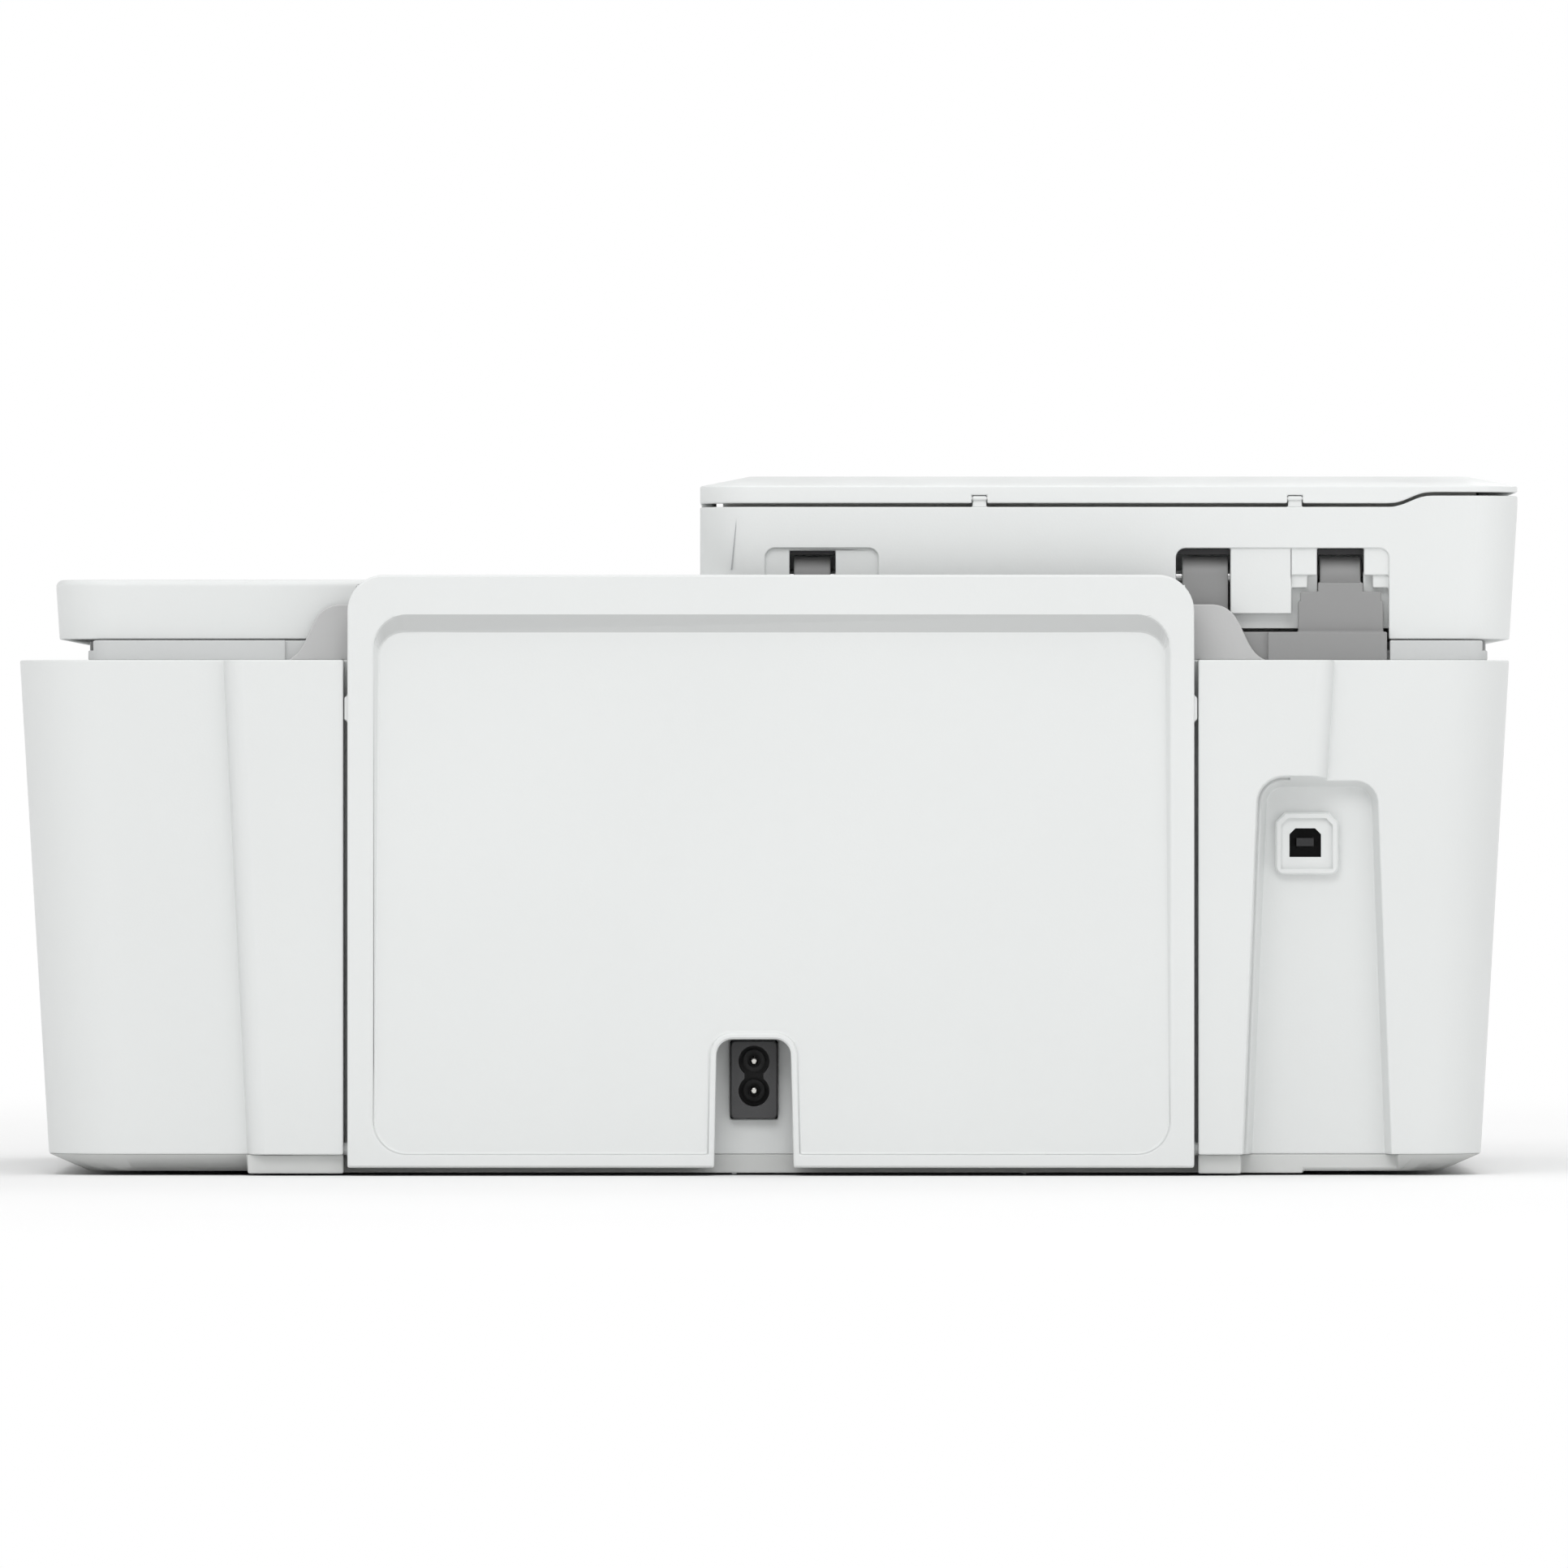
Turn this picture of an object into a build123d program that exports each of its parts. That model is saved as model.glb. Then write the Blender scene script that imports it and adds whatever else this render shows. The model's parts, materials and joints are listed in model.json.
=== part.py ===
"""An all-in-one inkjet printer: base, scanner unit, control deck, rear paper tray and print engine.

Millimetres. +X is right as seen from the front, the front faces -Y, +Z is up, and the origin is
the middle of the footprint on the table.
"""
import os

from build123d import *

os.makedirs("parts", exist_ok=True)

# Driving dimensions
WALL = 2.5
RUN_FIT = 0.05
SLIDE_GAP = 0.3

BASE_TOP_X = (-211.3, 214.0)
BASE_LOW_X = (-203.2, 205.7)
BASE_TOP_Y = (-162.0, 158.0)
BASE_LOW_Y = (-156.0, 158.0)
PAN_X = (-192.0, 194.5)
PAN_Y = (-146.0, 150.0)
PAN_Z = 1.2
SKIRT_Z = 6.0
BASE_Z = 146.7
BASE_CORNER = 22.0
BLOCK_Y = 164.0
NECK_X = (-205.0, 194.4)
NECK_Y = (-150.0, 144.5)
NECK_Z = 152.4
NECK_REAR_Z = 149.5
NECK_STEP_Y = 124.0
FENCE_Y = 142.3
NECK_CORNER = 6.0
BAY_X = (-178.0, 172.0)
BAY_Y = (-112.0, 100.0)

DOOR_X = (-120.8, 119.9)
DOOR_Y = (154.0, 166.0)
DOOR_Z = (2.3, 170.9)
DOOR_CORNER = 10.4
DOOR_WALL_Y = 151.3
DOOR_SIDE_GAP = 1.2
TRAY_PIN = (159.0, 7.6)
TRAY_PIN_R = 1.8
NOTCH_TOP = 38.8
NOTCH_CORNER = 4.6
NOTCH_LIP = 1.9
RECESS_X = (-114.0, 112.6)
RECESS_Z = (6.2, 159.6)
RECESS_FLOOR = ((162.6, 154.5), (165.4, 6.2))
CHEEK_CURVE = ((1.0, -0.05), (1.0, -0.35))
CHEEK_CURVE_BACK = ((-1.0, -0.05), (-1.0, -0.35))

UPPER_Z = 152.7
UPPER_Y = (-166.0, 142.0)
SCAN_TOP_X = (-214.0, 19.8)
SCAN_LOW_X = (-211.7, 19.8)
SCAN_Z = 190.5
SCAN_RIM_Z = 193.7
RIM_CURVE_X = (-176.7, -189.1)
RIM_CORNER_Y = 121.0
DECK_X = (19.8, 204.1)
DECK_Z = 169.7
UPPER_CORNER = 16.0
UPPER_PIN = (132.0, 170.5)
UPPER_PIN_R = 2.2
GLASS_X = (-205.0, 13.0)
GLASS_Y = (-160.0, 137.0)
POCKET_TOP = 178.7
POCKET_CORNER = 2.8
GLASS_Z = 187.5

LID_Z = (191.5, 199.3)
LID_BAND_Z = 196.5
LID_PIN = (141.3, 192.9)
LID_PIN_R = 0.4
KNUCKLE_R = 0.7
KNUCKLE_HALF = 2.0
LID_KNUCKLES_X = (-150.0, -60.0)

SLOT_X = (-112.0, 112.0)
FEED_AXIS = (50.0, 60.0)
OUTPUT_AXIS = (-60.0, 60.0)
PICK_AXIS = (98.0, 76.0)
SHAFT_R = 3.0
FEED_ROLLER_R = 7.0
OUTPUT_ROLLER_R = 5.5
PICK_ROLLER_R = 12.0
SIDE_PLATE_X = 176.0
PINCH_X = (-90.0, -30.0, 30.0, 90.0)
RAIL_AXIS = (40.0, 104.0)
RAIL_R = 4.0
CARRIAGE_X = 112.0
PULLEY_X = 160.0
PULLEY_Z = 124.0
PULLEY_Y = (49.0, 55.0)
PULLEY_R = 6.0
BELT_THICK = 1.2

INLET_X = (-2.4, 11.1)
INLET_Z = (16.0, 38.3)
INLET_PORT_X = 4.35
INLET_PIN_Z = (24.0, 32.5)
INLET_PIN_R = 1.2
USB_FACE_Y = 152.9
USB_PORT_X = (-157.15, -148.15)
USB_PORT_Z = (90.6, 98.8)
USB_PORT_CUT = 1.7
USB_BEZEL_X = (-162.1, -144.1)
USB_BEZEL_Z = (85.6, 103.3)

BUTTON_PLACES = {
    "button_power": (82.0, -92.0, 5.0),
    "button_stop": (182.0, -92.0, 5.0),
    "button_copy_mono": (164.0, -128.0, 6.0),
    "button_copy_color": (182.0, -128.0, 6.0),
    "button_up": (150.0, -96.0, 4.0),
    "button_down": (150.0, -124.0, 4.0),
    "button_ok": (150.0, -110.0, 4.5),
}


def block(x_span, y_span, z_span, mode=Mode.ADD):
    """A box between two limits on each axis, in the part being built."""
    middle = tuple((low + high) / 2 for low, high in (x_span, y_span, z_span))
    size = tuple(high - low for low, high in (x_span, y_span, z_span))
    with Locations(middle):
        return Box(*size, mode=mode)


def rod_x(axis_yz, radius, x_span, mode=Mode.ADD):
    """A cylinder along X."""
    with Locations(Location((sum(x_span) / 2, *axis_yz), (0, 90, 0))):
        return Cylinder(radius, x_span[1] - x_span[0], mode=mode)


def rod_y(x, z, radius, y_span, mode=Mode.ADD):
    """A cylinder along Y."""
    with Locations(Location((x, sum(y_span) / 2, z), (90, 0, 0))):
        return Cylinder(radius, y_span[1] - y_span[0], mode=mode)


def rod_z(x, y, radius, z_span, mode=Mode.ADD):
    """A cylinder along Z."""
    with Locations((x, y, sum(z_span) / 2)):
        return Cylinder(radius, z_span[1] - z_span[0], mode=mode)


def outline(x_span, y_span, height, radius):
    """A rounded rectangle, seen from above, at a height."""
    with BuildSketch(Plane.XY.offset(height)) as profile:
        with Locations((sum(x_span) / 2, sum(y_span) / 2)):
            RectangleRounded(x_span[1] - x_span[0], y_span[1] - y_span[0], radius)
    add(profile.sketch)


def grown(span, amount):
    """A span made wider by an amount at both ends."""
    return (span[0] - amount, span[1] + amount)


def save(builder, name):
    """Label a finished piece and write it out."""
    builder.part.label = name
    export_step(builder.part, f"parts/{name}.step")


# Base: housing, pan and neck -----------------------------------------------------------------
def block_profile(front, rear, z_low):
    """The rear blocks beside the tray, narrower towards the table, between two Y planes."""
    with BuildSketch(Plane.XZ.offset(-front)) as profile:
        with BuildLine():
            Polyline(
                (-152.0, z_low),
                (-160.7, BASE_Z),
                (155.2, BASE_Z),
                (148.3, z_low),
                close=True,
            )
        make_face()
    add(profile.sketch)
    extrude(amount=rear - front, dir=(0, 1, 0))


with BuildPart() as rear_blocks:
    block_profile(150.0, BLOCK_Y, SKIRT_Z)
    block_edges = rear_blocks.faces().sort_by(Axis.Y)[-1].edges().sort_by(Axis.X)
    fillet((block_edges[0], block_edges[-1]), radius=5.5)

with BuildPart() as cable_channel:
    for face_y, step in ((DOOR_WALL_Y, 3.2), (BLOCK_Y + 1.0, 0.0)):
        with BuildSketch(Plane.XZ.offset(-face_y)):
            with BuildLine():
                Polyline(
                    (-178.9 + step, -1.0),
                    (-174.6 + step, 113.9 - step),
                    (-138.6 - step, 113.9 - step),
                    (-134.0 - step, -1.0),
                    close=True,
                )
            make_face()
            fillet(vertices().group_by(Axis.Y)[-1], 8.0 - step)
    loft(ruled=True)

with BuildPart() as base_housing:
    outline(BASE_LOW_X, BASE_LOW_Y, SKIRT_Z, BASE_CORNER)
    outline(BASE_TOP_X, BASE_TOP_Y, BASE_Z, BASE_CORNER)
    loft(ruled=True)
    add(rear_blocks.part)
    outline(grown(BASE_LOW_X, -WALL), grown(BASE_LOW_Y, -WALL), SKIRT_Z, BASE_CORNER - WALL)
    outline(grown(BASE_TOP_X, -WALL), grown(BASE_TOP_Y, -WALL), BASE_Z - WALL, BASE_CORNER - WALL)
    loft(ruled=True, mode=Mode.SUBTRACT)
    # hollow the rear blocks, then close the wall behind the tray
    block((124.5, 145.0), (154.0, BLOCK_Y - WALL), (SKIRT_Z, BASE_Z - WALL), mode=Mode.SUBTRACT)
    block((-148.0, -125.0), (154.0, BLOCK_Y - WALL), (SKIRT_Z, BASE_Z - WALL), mode=Mode.SUBTRACT)
    block((-124.8, 124.0), (148.8, 159.0), (SKIRT_Z, BASE_Z))
    block(
        (DOOR_X[0] - DOOR_SIDE_GAP, DOOR_X[1] + DOOR_SIDE_GAP),
        (DOOR_WALL_Y, 170.0),
        (0.0, BASE_Z + 1.0),
        mode=Mode.SUBTRACT,
    )
    block(SLOT_X, (140.0, 160.0), (96.0, BASE_Z - WALL), mode=Mode.SUBTRACT)
    block(SLOT_X, (128.0, 160.0), (140.0, BASE_Z + 1.0), mode=Mode.SUBTRACT)
    block((-122.6, 121.8), (142.6, 148.8), (127.5, BASE_Z + 1.0), mode=Mode.SUBTRACT)
    # scooped channel for the data cable
    block((-182.0, -130.5), (148.8, 157.5), (SKIRT_Z, 117.0))
    add(cable_channel.part, mode=Mode.SUBTRACT)
    block(grown((-158.65, -146.65), SLIDE_GAP), (148.0, 152.0), (88.9, 100.5), mode=Mode.SUBTRACT)
    # mains inlet, carriage bay and output slot
    block(INLET_X, (140.0, 160.0), INLET_Z, mode=Mode.SUBTRACT)
    block(BAY_X, BAY_Y, (BASE_Z - 5.0, BASE_Z + 1.0), mode=Mode.SUBTRACT)
    block((-128.0, 128.0), (-170.0, -150.0), (22.0, 92.0), mode=Mode.SUBTRACT)
    # bores for the tray pins in the two rear blocks
    rod_x(TRAY_PIN, TRAY_PIN_R + RUN_FIT, (118.0, 129.5), mode=Mode.SUBTRACT)
    rod_x(TRAY_PIN, TRAY_PIN_R + RUN_FIT, (-130.5, -118.0), mode=Mode.SUBTRACT)
save(base_housing, "base_housing")

with BuildPart() as base_pan:
    outline(PAN_X, PAN_Y, PAN_Z, 14.0)
    outline(BASE_LOW_X, BASE_LOW_Y, SKIRT_Z, BASE_CORNER)
    loft(ruled=True)
    block_profile(145.0, BLOCK_Y - 3.0, 0.6)
    split(bisect_by=Plane.XY.offset(SKIRT_Z), keep=Keep.BOTTOM)
    block(grown(PAN_X, -8.0), (-138.0, 140.0), (PAN_Z + WALL, SKIRT_Z + 1.0), mode=Mode.SUBTRACT)
    block(
        (DOOR_X[0] - DOOR_SIDE_GAP, DOOR_X[1] + DOOR_SIDE_GAP),
        (DOOR_WALL_Y, 170.0),
        (-1.0, SKIRT_Z + 1.0),
        mode=Mode.SUBTRACT,
    )
    rod_x(TRAY_PIN, TRAY_PIN_R + 0.6, (-135.0, 135.0), mode=Mode.SUBTRACT)
    block((-178.7, -134.2), (DOOR_WALL_Y, 170.0), (-1.0, SKIRT_Z + 1.0), mode=Mode.SUBTRACT)
    foot_places = [(x, y) for x in (-160.0, 160.0) for y in (-125.0, 125.0)]
    for x, y in foot_places:
        rod_z(x, y, 6.0, (PAN_Z - 1.0, PAN_Z + 0.8), mode=Mode.SUBTRACT)
save(base_pan, "base_pan")

with BuildPart() as rubber_feet:
    for x, y in foot_places:
        rod_z(x, y, 6.0, (0.0, PAN_Z + 0.8))
save(rubber_feet, "rubber_feet")

with BuildPart() as top_frame:
    outline(NECK_X, NECK_Y, BASE_Z, NECK_CORNER)
    extrude(amount=NECK_Z - BASE_Z)
    # lower where the upper unit's rear edge swings down, with a low fence behind it
    block((-230.0, 230.0), (NECK_STEP_Y, FENCE_Y), (NECK_REAR_Z, NECK_Z + 1.0), mode=Mode.SUBTRACT)
    block((112.0, 138.0), (142.8, 150.0), (BASE_Z - 1.0, NECK_Z + 1.0), mode=Mode.SUBTRACT)
    block((-177.0, -110.0), (140.1, 150.0), (BASE_Z - 1.0, NECK_Z + 1.0), mode=Mode.SUBTRACT)
    block(BAY_X, BAY_Y, (BASE_Z - 1.0, NECK_Z + 1.0), mode=Mode.SUBTRACT)
    block(SLOT_X, (128.0, 160.0), (BASE_Z - 1.0, NECK_Z + 1.0), mode=Mode.SUBTRACT)
save(top_frame, "top_frame")

# Rear paper chute: light grey cheeks that show beside the tray --------------------------------
with BuildPart() as paper_chute:
    block((-140.0, 137.0), (113.0, 147.0), (62.0, 65.0))
    for side in (-1, 1):
        cheek = sorted((side * 112.5, side * 115.5))
        block(cheek, (113.0, 147.0), (65.0, 143.9))
    with BuildSketch(Plane.XZ.offset(-143.0)):
        with BuildLine():
            cheek_foot = Line((112.5, 128.0), (112.5, 162.6))
            cheek_top = Line(cheek_foot @ 1, (122.5, 162.6))
            cheek_slope = Spline(cheek_top @ 1, (137.5, BASE_Z + 0.05), tangents=CHEEK_CURVE)
            Polyline(cheek_slope @ 1, (121.2, BASE_Z + 0.05), (121.2, 128.0), cheek_foot @ 0)
        make_face()
        with BuildLine():
            cheek_foot = Line((-112.5, 128.0), (-112.5, 162.6))
            cheek_top = Line(cheek_foot @ 1, (-126.4, 162.6))
            cheek_slope = Spline(cheek_top @ 1, (-141.6, BASE_Z + 0.05), tangents=CHEEK_CURVE_BACK)
            Polyline(cheek_slope @ 1, (-122.0, BASE_Z + 0.05), (-122.0, 128.0), cheek_foot @ 0)
        make_face()
    extrude(amount=-4.5)
    for side in (-1, 1):
        travel_slot = sorted((side * 48.0, side * 108.0))
        rack_y = 120.0 if side > 0 else 136.0
        block(travel_slot, (rack_y - 2.3, rack_y + 2.3), (60.0, 66.0), mode=Mode.SUBTRACT)
    # posts that carry the pick roller's shaft
    block((-34.0, 102.0), (92.0, 116.0), (59.5, 62.5))
    for x_span in ((-34.0, -28.0), (28.0, 34.0), (96.0, 102.0)):
        block(x_span, (92.0, 104.0), (62.0, 82.0))
        rod_x(PICK_AXIS, SHAFT_R + RUN_FIT, x_span, mode=Mode.SUBTRACT)
save(paper_chute, "paper_chute")


def width_guide(side, rack_y):
    """A paper edge guide: an upright fence with a foot, and a rack bar under the chute's shelf."""
    block(sorted((side * 103.0, side * 106.0)), (114.0, 146.0), (65.4, 138.0))
    block(sorted((side * 92.0, side * 106.0)), (114.0, 146.0), (65.4, 68.0))
    block(sorted((side * 98.0, side * 104.0)), (rack_y - 2.0, rack_y + 2.0), (58.0, 66.0))
    block(sorted((side * 104.0, side * -8.0)), (rack_y - 2.0, rack_y + 2.0), (56.0, 60.0))


with BuildPart() as width_guide_left:
    width_guide(1, 120.0)
save(width_guide_left, "width_guide_left")

with BuildPart() as width_guide_right:
    width_guide(-1, 136.0)
save(width_guide_right, "width_guide_right")

with BuildPart() as guide_pinion:
    rod_z(0.0, 128.0, 5.7, (56.0, 60.0))
    rod_z(0.0, 128.0, 1.5, (52.0, 56.0))
save(guide_pinion, "guide_pinion")

# Rear input tray and its extender -----------------------------------------------------------
with BuildPart() as tray_recess:
    for face_y, side_step, top_step, radius in (
        (DOOR_Y[1], 0.0, 0.0, 9.5),
        (RECESS_FLOOR[0][0], 1.4, 5.1, 7.5),
    ):
        with BuildSketch(Plane.XZ.offset(-face_y)):
            with Locations((sum(RECESS_X) / 2, (RECESS_Z[0] + RECESS_Z[1] - top_step + side_step) / 2)):
                RectangleRounded(
                    RECESS_X[1] - RECESS_X[0] - 2 * side_step,
                    RECESS_Z[1] - RECESS_Z[0] - top_step - side_step,
                    radius,
                )
    loft(ruled=True)
    with BuildSketch(Plane.YZ.offset(RECESS_X[0] - 5.0)):
        with BuildLine():
            Polyline(
                RECESS_FLOOR[0], (150.0, RECESS_FLOOR[0][1]), (150.0, 0.0), (RECESS_FLOOR[1][0], 0.0),
                RECESS_FLOOR[1], close=True,
            )
        make_face()
    extrude(amount=RECESS_X[1] - RECESS_X[0] + 10.0, mode=Mode.SUBTRACT)

def notch_outline(face_y, margin, corner, z_low):
    """The outline of the lead's notch, made wider by a margin, on a plane across Y."""
    with BuildSketch(Plane.XZ.offset(-face_y)) as profile:
        with BuildLine():
            Polyline(
                (15.7 + margin, z_low),
                (14.9 + margin, NOTCH_TOP + margin),
                (-6.0 - margin, NOTCH_TOP + margin),
                (-7.0 - margin, z_low),
                close=True,
            )
        make_face()
        fillet(vertices().group_by(Axis.Y)[-1], corner)
    add(profile.sketch)


with BuildPart() as input_tray:
    with BuildSketch(Plane.XZ.offset(-DOOR_Y[0])):
        with Locations((sum(DOOR_X) / 2, sum(DOOR_Z) / 2)):
            Rectangle(DOOR_X[1] - DOOR_X[0], DOOR_Z[1] - DOOR_Z[0])
    extrude(amount=-(DOOR_Y[1] - DOOR_Y[0]))
    fillet(input_tray.edges().filter_by(Axis.Y).group_by(Axis.Z)[-1], DOOR_CORNER)
    # open the back, leaving a rim
    block(grown(DOOR_X, -3.0), (DOOR_Y[0] - 1.0, 161.6), (DOOR_Z[0] + 10.0, 167.5), mode=Mode.SUBTRACT)
    # recessed outer panel, deep under its top edge and nearly flush at the bottom
    add(tray_recess.part, mode=Mode.SUBTRACT)
    # detent bumps on both edges
    for bump_x in ((DOOR_X[0] - 0.9, DOOR_X[0] + 1.0), (DOOR_X[1] - 1.0, DOOR_X[1] + 0.9)):
        block(bump_x, (158.0, 164.0), (129.4, 136.3))
    # slot for the extender through the top rim
    block((-98.6, 98.6), (157.4, 161.1), (160.0, 172.0), mode=Mode.SUBTRACT)
    # channels that hold the extender
    for side in (-1, 1):
        rail = sorted((side * 98.6, side * 102.0))
        lip = sorted((side * 94.0, side * 102.0))
        block(rail, (155.6, 162.0), (48.0, 167.5))
        block(lip, (155.6, 157.4), (48.0, 160.0))
    # arched notch for the power lead, with a raised lip around it
    notch_outline(161.6, NOTCH_LIP, NOTCH_CORNER + NOTCH_LIP, DOOR_Z[0])
    extrude(amount=DOOR_Y[1] - 161.6, dir=(0, 1, 0))
    notch_outline(DOOR_Y[0] - 1.0, 0.0, NOTCH_CORNER, 0.0)
    extrude(amount=15.0, dir=(0, 1, 0), mode=Mode.SUBTRACT)
    rod_x(TRAY_PIN, TRAY_PIN_R, (DOOR_X[1] - 4.0, 128.0))
    rod_x(TRAY_PIN, TRAY_PIN_R, (-129.0, DOOR_X[0] + 4.0))
save(input_tray, "input_tray")

with BuildPart() as tray_extender:
    block((-98.2, 98.2), (157.8, 160.7), (50.0, 170.4))
    with BuildSketch(Plane.XZ.offset(-157.0)):
        with Locations((0.0, 150.0)):
            SlotOverall(46.0, 14.0)
    extrude(amount=-5.0, mode=Mode.SUBTRACT)
save(tray_extender, "tray_extender")

# Upper unit: scanner housing, deck, hinge hardware ------------------------------------------
def rim_relief(lift, end_x):
    """The space on one side of the S-shaped parting line at the rear corner of the lid.

    The line runs from SCAN_Z up to SCAN_RIM_Z towards -X. With end_x beyond the scanner's +X side it
    is the space above the line, and with end_x beyond the -X side, the space below it.
    """
    low, high = SCAN_Z + lift, SCAN_RIM_Z + lift
    above = end_x > 0
    with BuildPart(mode=Mode.PRIVATE) as relief:
        with BuildSketch(Plane.XZ.offset(-RIM_CORNER_Y + 1.0)):
            with BuildLine():
                curve = Spline((RIM_CURVE_X[0], low), (RIM_CURVE_X[1], high), tangents=((-1, 0), (-1, 0)))
                if above:
                    Polyline(
                        curve @ 1, (-230.0, high), (-230.0, high + 2.0), (end_x, high + 2.0),
                        (end_x, low), curve @ 0,
                    )
                else:
                    Polyline(
                        curve @ 1, (end_x, high), (end_x, low - 2.0), (RIM_CURVE_X[0], low - 2.0), curve @ 0,
                    )
            make_face()
        extrude(amount=-(UPPER_Y[1] + 5.0 - RIM_CORNER_Y))
    return relief.part


def pocket(x_span, floor_y):
    """A hinge pocket in the rear wall, open below, with rounded top corners."""
    with BuildSketch(Plane.XZ.offset(-floor_y)) as profile:
        with Locations((sum(x_span) / 2, (140.0 + POCKET_TOP) / 2)):
            RectangleRounded(x_span[1] - x_span[0], POCKET_TOP - 140.0, POCKET_CORNER)
    add(profile.sketch)
    extrude(amount=150.0 - floor_y, dir=(0, 1, 0), mode=Mode.SUBTRACT)


with BuildPart() as scanner_housing:
    outline(SCAN_LOW_X, UPPER_Y, UPPER_Z, UPPER_CORNER)
    outline(SCAN_TOP_X, UPPER_Y, SCAN_Z, UPPER_CORNER)
    loft(ruled=True)
    block((0.0, 19.8), UPPER_Y, (UPPER_Z, DECK_Z))
    # raised rim along the right side, wider at the rear corner
    outline((SCAN_TOP_X[0], SCAN_TOP_X[1]), UPPER_Y, SCAN_Z, UPPER_CORNER)
    extrude(amount=SCAN_RIM_Z - SCAN_Z)
    block((-206.5, 30.0), (-170.0, RIM_CORNER_Y), (SCAN_Z, SCAN_RIM_Z + 1.0), mode=Mode.SUBTRACT)
    add(rim_relief(0.0, 30.0), mode=Mode.SUBTRACT)
    block((-203.0, 11.0), (-158.0, 135.0), (UPPER_Z + WALL, 195.0), mode=Mode.SUBTRACT)
    block(GLASS_X, GLASS_Y, (GLASS_Z, 195.0), mode=Mode.SUBTRACT)
    # boxes around the two hinge pockets
    block((-33.1, 3.2), (120.5, 136.0), (UPPER_Z, 180.7))
    block((-178.8, -114.0), (120.5, 136.0), (UPPER_Z, 180.7))
    pocket((-31.1, 1.2), 140.6)
    block((-18.9, -5.8), (123.0, 150.0), (150.0, 178.0), mode=Mode.SUBTRACT)
    pocket((-176.8, -116.0), 123.0)
    block((-149.0, -131.6), (122.0, 141.2), (160.0, 179.0))
    # stepped stops on both sides of the bracket's neck
    for x_span, low_x_span in (((-156.3, -149.0), (-153.6, -149.0)), ((-177.0, -169.7), (-177.0, -172.2))):
        block(x_span, (122.0, 141.0), (171.0, 179.0))
        block(low_x_span, (122.0, 139.9), (167.4, 171.0))
    rod_x(UPPER_PIN, UPPER_PIN_R + RUN_FIT, (-22.4, -2.4), mode=Mode.SUBTRACT)
    rod_x(UPPER_PIN, UPPER_PIN_R + RUN_FIT, (-134.6, -112.6), mode=Mode.SUBTRACT)
    # knuckles for the lid pins
    for x in LID_KNUCKLES_X:
        knuckle_x = (x - KNUCKLE_HALF, x + KNUCKLE_HALF)
        block(knuckle_x, (139.0, LID_PIN[0]), (SCAN_Z - 1.0, LID_PIN[1]))
        rod_x(LID_PIN, KNUCKLE_R, knuckle_x)
        rod_x(LID_PIN, LID_PIN_R + RUN_FIT, (x - 4.0, x + 4.0), mode=Mode.SUBTRACT)
save(scanner_housing, "scanner_housing")

def hinge_arm(x_span):
    """An upright on the neck with a round head about the upper unit's hinge line."""
    with BuildSketch(Plane.YZ.offset(x_span[0])) as profile:
        with BuildLine():
            Polyline(
                (138.0, UPPER_PIN[1]), (139.5, NECK_REAR_Z), (124.5, NECK_REAR_Z), (126.0, UPPER_PIN[1]),
            )
            RadiusArc((126.0, UPPER_PIN[1]), (138.0, UPPER_PIN[1]), 6.0)
        make_face()
    add(profile.sketch)
    extrude(amount=x_span[1] - x_span[0], dir=(1, 0, 0))


with BuildPart() as hinge_arms:
    for x_span in ((-17.5, -7.0), (-131.0, -117.9)):
        hinge_arm(x_span)
        rod_x(UPPER_PIN, UPPER_PIN_R, x_span, mode=Mode.SUBTRACT)
save(hinge_arms, "hinge_arms")

with BuildPart() as upper_hinge_pins:
    rod_x(UPPER_PIN, UPPER_PIN_R, (-21.9, -2.9))
    rod_x(UPPER_PIN, UPPER_PIN_R, (-134.1, -113.1))
save(upper_hinge_pins, "upper_hinge_pins")

with BuildPart() as hinge_bracket:
    hinge_arm((-168.8, -157.2))
    block((-176.2, -131.4), (126.0, 140.5), (NECK_REAR_Z, 154.8))
    block((-176.2, -142.2), (140.2, 144.5), (BASE_Z, 154.8))
    block((-142.2, -116.3), (140.2, 142.8), (BASE_Z, 154.8))
    # a plate behind the neck, with one step on each side
    block((-175.2, -150.9), (139.6, 141.4), (154.8, 163.6))
    block((-174.6, -151.5), (139.6, 141.4), (163.6, 166.3))
    block((-169.4, -156.6), (137.0, 141.4), (154.8, 168.9))
save(hinge_bracket, "hinge_bracket")

with BuildPart() as deck_cover:
    outline((DECK_X[0] - 30.0, 203.0), UPPER_Y, UPPER_Z, UPPER_CORNER)
    outline((DECK_X[0] - 30.0, DECK_X[1]), UPPER_Y, DECK_Z, UPPER_CORNER)
    loft(ruled=True)
    top_edges = deck_cover.edges().group_by(Axis.Z)[-1]
    fillet(top_edges, radius=2.0)
    outline((DECK_X[0] + WALL, 200.3), grown(UPPER_Y, -WALL), UPPER_Z, UPPER_CORNER - WALL)
    extrude(amount=DECK_Z - 3.0 - UPPER_Z, mode=Mode.SUBTRACT)
    block((-50.0, DECK_X[0]), (-200.0, 200.0), (140.0, 180.0), mode=Mode.SUBTRACT)
    block((60.0, 194.0), (-146.0, -74.0), (DECK_Z - 2.0, DECK_Z + 1.0), mode=Mode.SUBTRACT)
    block((63.0, 191.0), (-143.0, -77.0), (DECK_Z - 4.0, DECK_Z + 1.0), mode=Mode.SUBTRACT)
save(deck_cover, "deck_cover")

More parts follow.
